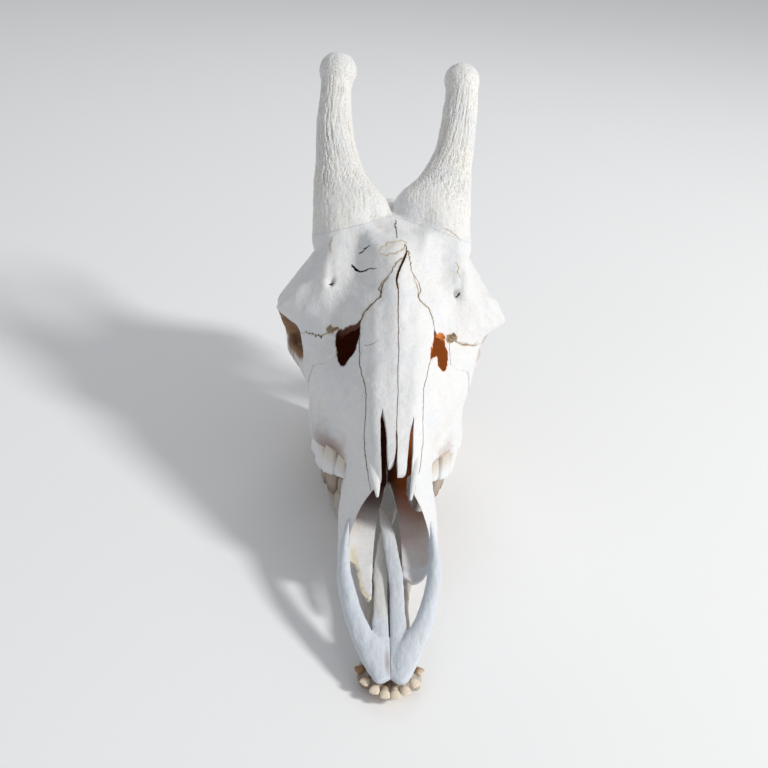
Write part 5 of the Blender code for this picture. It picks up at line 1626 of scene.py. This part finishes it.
def cheek_crown(y, half_long, half_wide, x, heading, root, level, lift, lobes, upper, around):
    """One cheek tooth. Seen from above it is a squared oval whose outer side stands out in upright
    ribs at its ends and between its lobes, and whose inner side is folded in between the lobes. Its
    column narrows to the root, and its chewing end is a rim round ring-shaped hollows, one a lobe."""
    turn = np.linspace(0, 2 * np.pi, around, endpoint=False)
    cosine, sine = np.cos(turn), np.sin(turn)
    a = np.sign(cosine) * np.abs(cosine) ** SQUARENESS
    b = np.sign(sine) * np.abs(sine) ** SQUARENESS
    outward = b if upper else -b
    ribs = 0.10 * np.cos(np.pi * lobes * (a + 1)) + 0.04 * np.cos(2 * np.pi * lobes * (a + 1))
    fold_depth, fold_width = (0.30, 0.16) if lobes == 2 else (0.06, 0.25)
    fold = -fold_depth * np.exp(-(a / fold_width) ** 2)
    width = 1 + np.where(outward > 0, ribs, fold) * np.abs(b)

    # Rings up the sides: the column swells to the middle of its height and draws in at the rim
    rim = CROWN_RIM
    heights = np.concatenate([np.linspace(0, rim, 26),
                              rim + (1 - rim) * np.sin(np.linspace(0.3, np.pi / 2, 5))])
    swell = 0.80 + 0.24 * np.sin(np.clip(heights, 0, 0.9) / 0.9 * np.pi * 0.62) - 0.10 * fade(heights, rim, 1)
    rings = [(a * scale, b * width * scale, share, 0 * a) for share, scale in zip(heights, swell)]

    # Rings over the chewing end, which dip along a ring round the middle of each lobe
    centres, reach = ((-0.48, 0.48), 0.5) if lobes == 2 else ((0.0,), 0.9)
    for inward in np.linspace(0.92, 0.08, 13):
        pa, pb = a * inward, b * width * inward
        away = [np.sqrt(((pa - centre) / reach) ** 2 + pb ** 2) for centre in centres]
        dip = np.maximum.reduce([np.exp(-((distance - 0.52) / 0.17) ** 2) for distance in away])
        rings.append((pa * swell[-1], pb * swell[-1], 1.0, -1.9 * dip))

    # Each ring is set in the row, its chewing end on the level of the bite with low cusps
    sign = 1 if upper else -1
    made = []
    for pa, pb, share, dip in rings:
        ta, tb = pa * half_long, pb * half_wide
        xs = x + tb * math.cos(heading) + ta * math.sin(heading)
        ys = y + ta * math.cos(heading) - tb * math.sin(heading)
        crown = root + (column(level, ys) + lift - root) * share
        cusp = 0.9 * np.cos(np.pi * lobes * (pa + 1)) * (share >= rim)
        made.append(np.stack([xs, ys, crown + sign * (np.abs(cusp) * 0.6 - dip)], axis=-1))
    return closed_grid(np.array(made))


def tooth_row(teeth, shift, root, level, lift, upper, around):
    """All the cheek teeth of one row on the left side, each turned along the row's outer edge."""
    forms = []
    for number, (y, half_long, half_wide) in enumerate(teeth):
        edge = column(UPPER_ROW, [y - 2, y, y + 2])
        heading = math.atan2(edge[2] - edge[0], 4)
        x = edge[1] - shift - half_wide * math.cos(heading)
        lobes = 2 if number >= FIRST_MOLAR else 1
        forms.append(cheek_crown(y, half_long * TOOTH_GAP_SHARE, half_wide, x, heading, root, level, lift,
                                 lobes, upper, around))
    return forms


def tooth_wear(piece, neck):
    """Stores how near each corner of a tooth lies to its neck, and where its surface is hollow."""
    mesh = piece.data
    points = read_points(mesh)
    store_recess(mesh, points, spread(points, read_edges(mesh), 12), 1, 0.9)
    write_value(mesh, "neck", fade(points[:, 2], *neck))


class GIRAFFE_OT_cheek_teeth(bpy.types.Operator):
    """Build the rows of cheek teeth in both jaws"""
    bl_idname = "giraffe.cheek_teeth"
    bl_label = "Cheek teeth"

    def execute(self, context):
        tooth = context.scene.giraffe_tooth
        upper_material = tooth_material("cheek_tooth", tooth.enamel, UPPER_TOOTH_STAIN, UPPER_TOOTH_PIT)
        # The lower cheek teeth: enamel, neck and hollows darkened as painted shade
        lower_material = tooth_material("lower_cheek_tooth", LOWER_TOOTH_ENAMEL, LOWER_TOOTH_STAIN,
                                        LOWER_TOOTH_PIT)
        upper = tooth_row(UPPER_TEETH, UPPER_ROW_SHIFT, UPPER_ROOT, UPPER_BITE, BITE_GAP, True, tooth.around)
        lower = tooth_row(LOWER_TEETH, LOWER_ROW_SHIFT, LOWER_ROOT, LOWER_BITE, -BITE_GAP, False,
                          tooth.around)
        rows = (("upper", "maxilla", upper, upper_material, UPPER_NECK),
                ("lower", "mandible", lower, lower_material, LOWER_NECK))
        for name, side in SIDES:
            for row, bone, forms, material, neck in rows:
                piece = make_object(f"{row}_teeth_{name}", to_side(forms, side))
                tooth_wear(piece, neck)
                finish_piece(piece, material, f"{bone}_{name}", sharp=50)
        return {"FINISHED"}


def front_tooth(x, y, turn):
    """A small front tooth: a tube leaning forward whose round root widens to a flat spade-shaped
    crown, rounded off at its edge. Its sections are a distance from the tip and two half widths."""
    away = np.array([math.sin(turn), -math.cos(turn), 0.32])
    away /= np.linalg.norm(away)
    tip = np.array([x, y, FRONT_TOOTH_LEVEL])
    r = FRONT_TOOTH_RADIUS
    sections = ((FRONT_TOOTH_LENGTH, 2.2, 2.2), (11, 2.6, 2.8), (7.5, 2.9, 2.9), (4.5, r * 0.96, r * 0.8),
                (1.5, r, r * 0.58), (0, r * 0.9, r * 0.34))
    stations = [(*(tip - away * back), wide, high) for back, wide, high in sections]
    return tube(stations, rows=60, around=40, side=(math.cos(turn), math.sin(turn), 0), end_rings=6)


class GIRAFFE_OT_front_teeth(bpy.types.Operator):
    """Build the small front teeth of the lower jaw"""
    bl_idname = "giraffe.front_teeth"
    bl_label = "Front teeth"

    def execute(self, context):
        tooth = context.scene.giraffe_tooth
        material = tooth_material("front_tooth", tooth.front, FRONT_TOOTH_STAIN, FRONT_TOOTH_PIT)
        for name, side in SIDES:
            forms = [front_tooth(*place) for place in FRONT_TEETH]
            piece = make_object(f"front_teeth_{name}", to_side(forms, side))
            mesh = piece.data
            points, normals = read_points(mesh), read_normals(mesh)
            write_points(mesh, points + normals * waves(points, FRONT_TOOTH_WAVES)[:, None])
            x, y, _ = points.T
            stained = y - np.abs(x) * 0.35 - np.maximum(x, 0) * 0.33
            write_value(mesh, "neck", fade(stained, -7, 3))
            write_value(mesh, "recess", np.full(len(points), 0.5))
            finish_piece(piece, material, f"mandible_{name}", sharp=60)
        return {"FINISHED"}


def plain_material(name, colour, roughness):
    """A matte material with a faint unevenness."""
    material, tree, shader, place = new_material(name)
    lighter = [min(1, part * 1.02) for part in colour]
    patch = blend_colour(tree, noise_value(tree, place, 3, 2), opaque(colour), opaque(lighter))
    feed(tree, shader.inputs["Base Color"], patch)
    shader.inputs["Roughness"].default_value = roughness
    shader.inputs["Specular IOR Level"].default_value = 0.1
    return material


def area_light(name, place, target, size, energy, colour):
    """A large soft lamp that looks at a target."""
    lamp = bpy.data.lights.new(name, "AREA")
    lamp.shape = "DISK"
    lamp.size = size
    lamp.energy = energy
    lamp.color = colour
    holder = bpy.data.objects.new(name, lamp)
    holder.location = place
    holder.rotation_mode = "QUATERNION"
    holder.rotation_quaternion = (Vector(place) - Vector(target)).to_track_quat("Z", "Y")
    bpy.context.scene.collection.objects.link(holder)


class GIRAFFE_OT_stage(bpy.types.Operator):
    """Lay a plain pale floor, hang soft studio lights and set the camera at the photo's angle"""
    bl_idname = "giraffe.stage"
    bl_label = "Floor, lights and camera"

    def execute(self, context):
        stage = context.scene.giraffe_stage
        scene = context.scene
        r = FLOOR_REACH
        mesh = bpy.data.meshes.new("floor")
        mesh.from_pydata([(-r, -r, 0), (r, -r, 0), (r, r, 0), (-r, r, 0)], [], [(0, 1, 2, 3)])
        floor = bpy.data.objects.new("floor", mesh)
        scene.collection.objects.link(floor)
        mesh.materials.append(plain_material("floor_paper", stage.floor, 0.8))
        world = bpy.data.worlds.new("studio")
        scene.world = world
        world.use_nodes = True
        background = world.node_tree.nodes["Background"]
        background.inputs["Color"].default_value = opaque(WORLD_COLOUR)
        background.inputs["Strength"].default_value = WORLD_STRENGTH * stage.light
        for name, place, size, energy, colour in LIGHTS:
            area_light(name, place, LIGHT_TARGET, size, energy * stage.light, colour)
        scene.view_settings.view_transform = "Standard"
        camera = bpy.data.objects.new("camera", bpy.data.cameras.new("camera"))
        scene.collection.objects.link(camera)
        place = rest_pose(np.array([CAMERA_PLACE]))[0]
        tip = Matrix.Rotation(REST_PITCH, 3, "X")
        columns = [tip @ Vector(v) for v in (CAMERA_RIGHT, CAMERA_UP, CAMERA_BACK)]
        turn = Matrix(columns).transposed()
        camera.matrix_world = Matrix.Translation(Vector(place)) @ turn.to_4x4()
        camera.data.sensor_width = SENSOR
        camera.data.lens = CAMERA_LENS
        camera.data.clip_start = 0.01
        scene.camera = camera
        return {"FINISHED"}


class GIRAFFE_PT_skull(bpy.types.Panel):
    """Sizes, colours and building steps of the giraffe skull"""
    bl_idname = "GIRAFFE_PT_skull"
    bl_label = "Giraffe skull"
    bl_space_type = "VIEW_3D"
    bl_region_type = "UI"
    bl_category = "Skull"

    def draw(self, context):
        layout = self.layout
        for group in GROUPS:
            settings = getattr(context.scene, group)
            column = layout.column(align=True)
            for name in settings.bl_rna.properties.keys():
                if name not in {"rna_type", "name"}:
                    column.prop(settings, name)
        for step in STEPS:
            layout.operator(step.bl_idname)


STEPS = [
    GIRAFFE_OT_fused_skull, GIRAFFE_OT_nasals, GIRAFFE_OT_horns, GIRAFFE_OT_cheeks, GIRAFFE_OT_maxillae,
    GIRAFFE_OT_braincase, GIRAFFE_OT_muzzle, GIRAFFE_OT_jaws, GIRAFFE_OT_cheek_teeth, GIRAFFE_OT_front_teeth,
    GIRAFFE_OT_stage,
]
GROUPS = {"giraffe_bone": BoneSettings, "giraffe_horn": HornSettings, "giraffe_tooth": ToothSettings,
          "giraffe_stage": StageSettings}
CLASSES = list(GROUPS.values()) + STEPS + [GIRAFFE_PT_skull]


def register():
    """Registers the settings, the operators and the panel."""
    for made in CLASSES:
        bpy.utils.register_class(made)
    for name, kind in GROUPS.items():
        setattr(bpy.types.Scene, name, PointerProperty(type=kind))


def unregister():
    """Takes back all that register() added."""
    for name in GROUPS:
        delattr(bpy.types.Scene, name)
    for made in reversed(CLASSES):
        bpy.utils.unregister_class(made)


def main():
    """Builds the whole model."""
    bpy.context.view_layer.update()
    register()
    for step in STEPS:
        group, name = step.bl_idname.split(".")
        getattr(getattr(bpy.ops, group), name)()


if __name__ == "__main__":
    main()
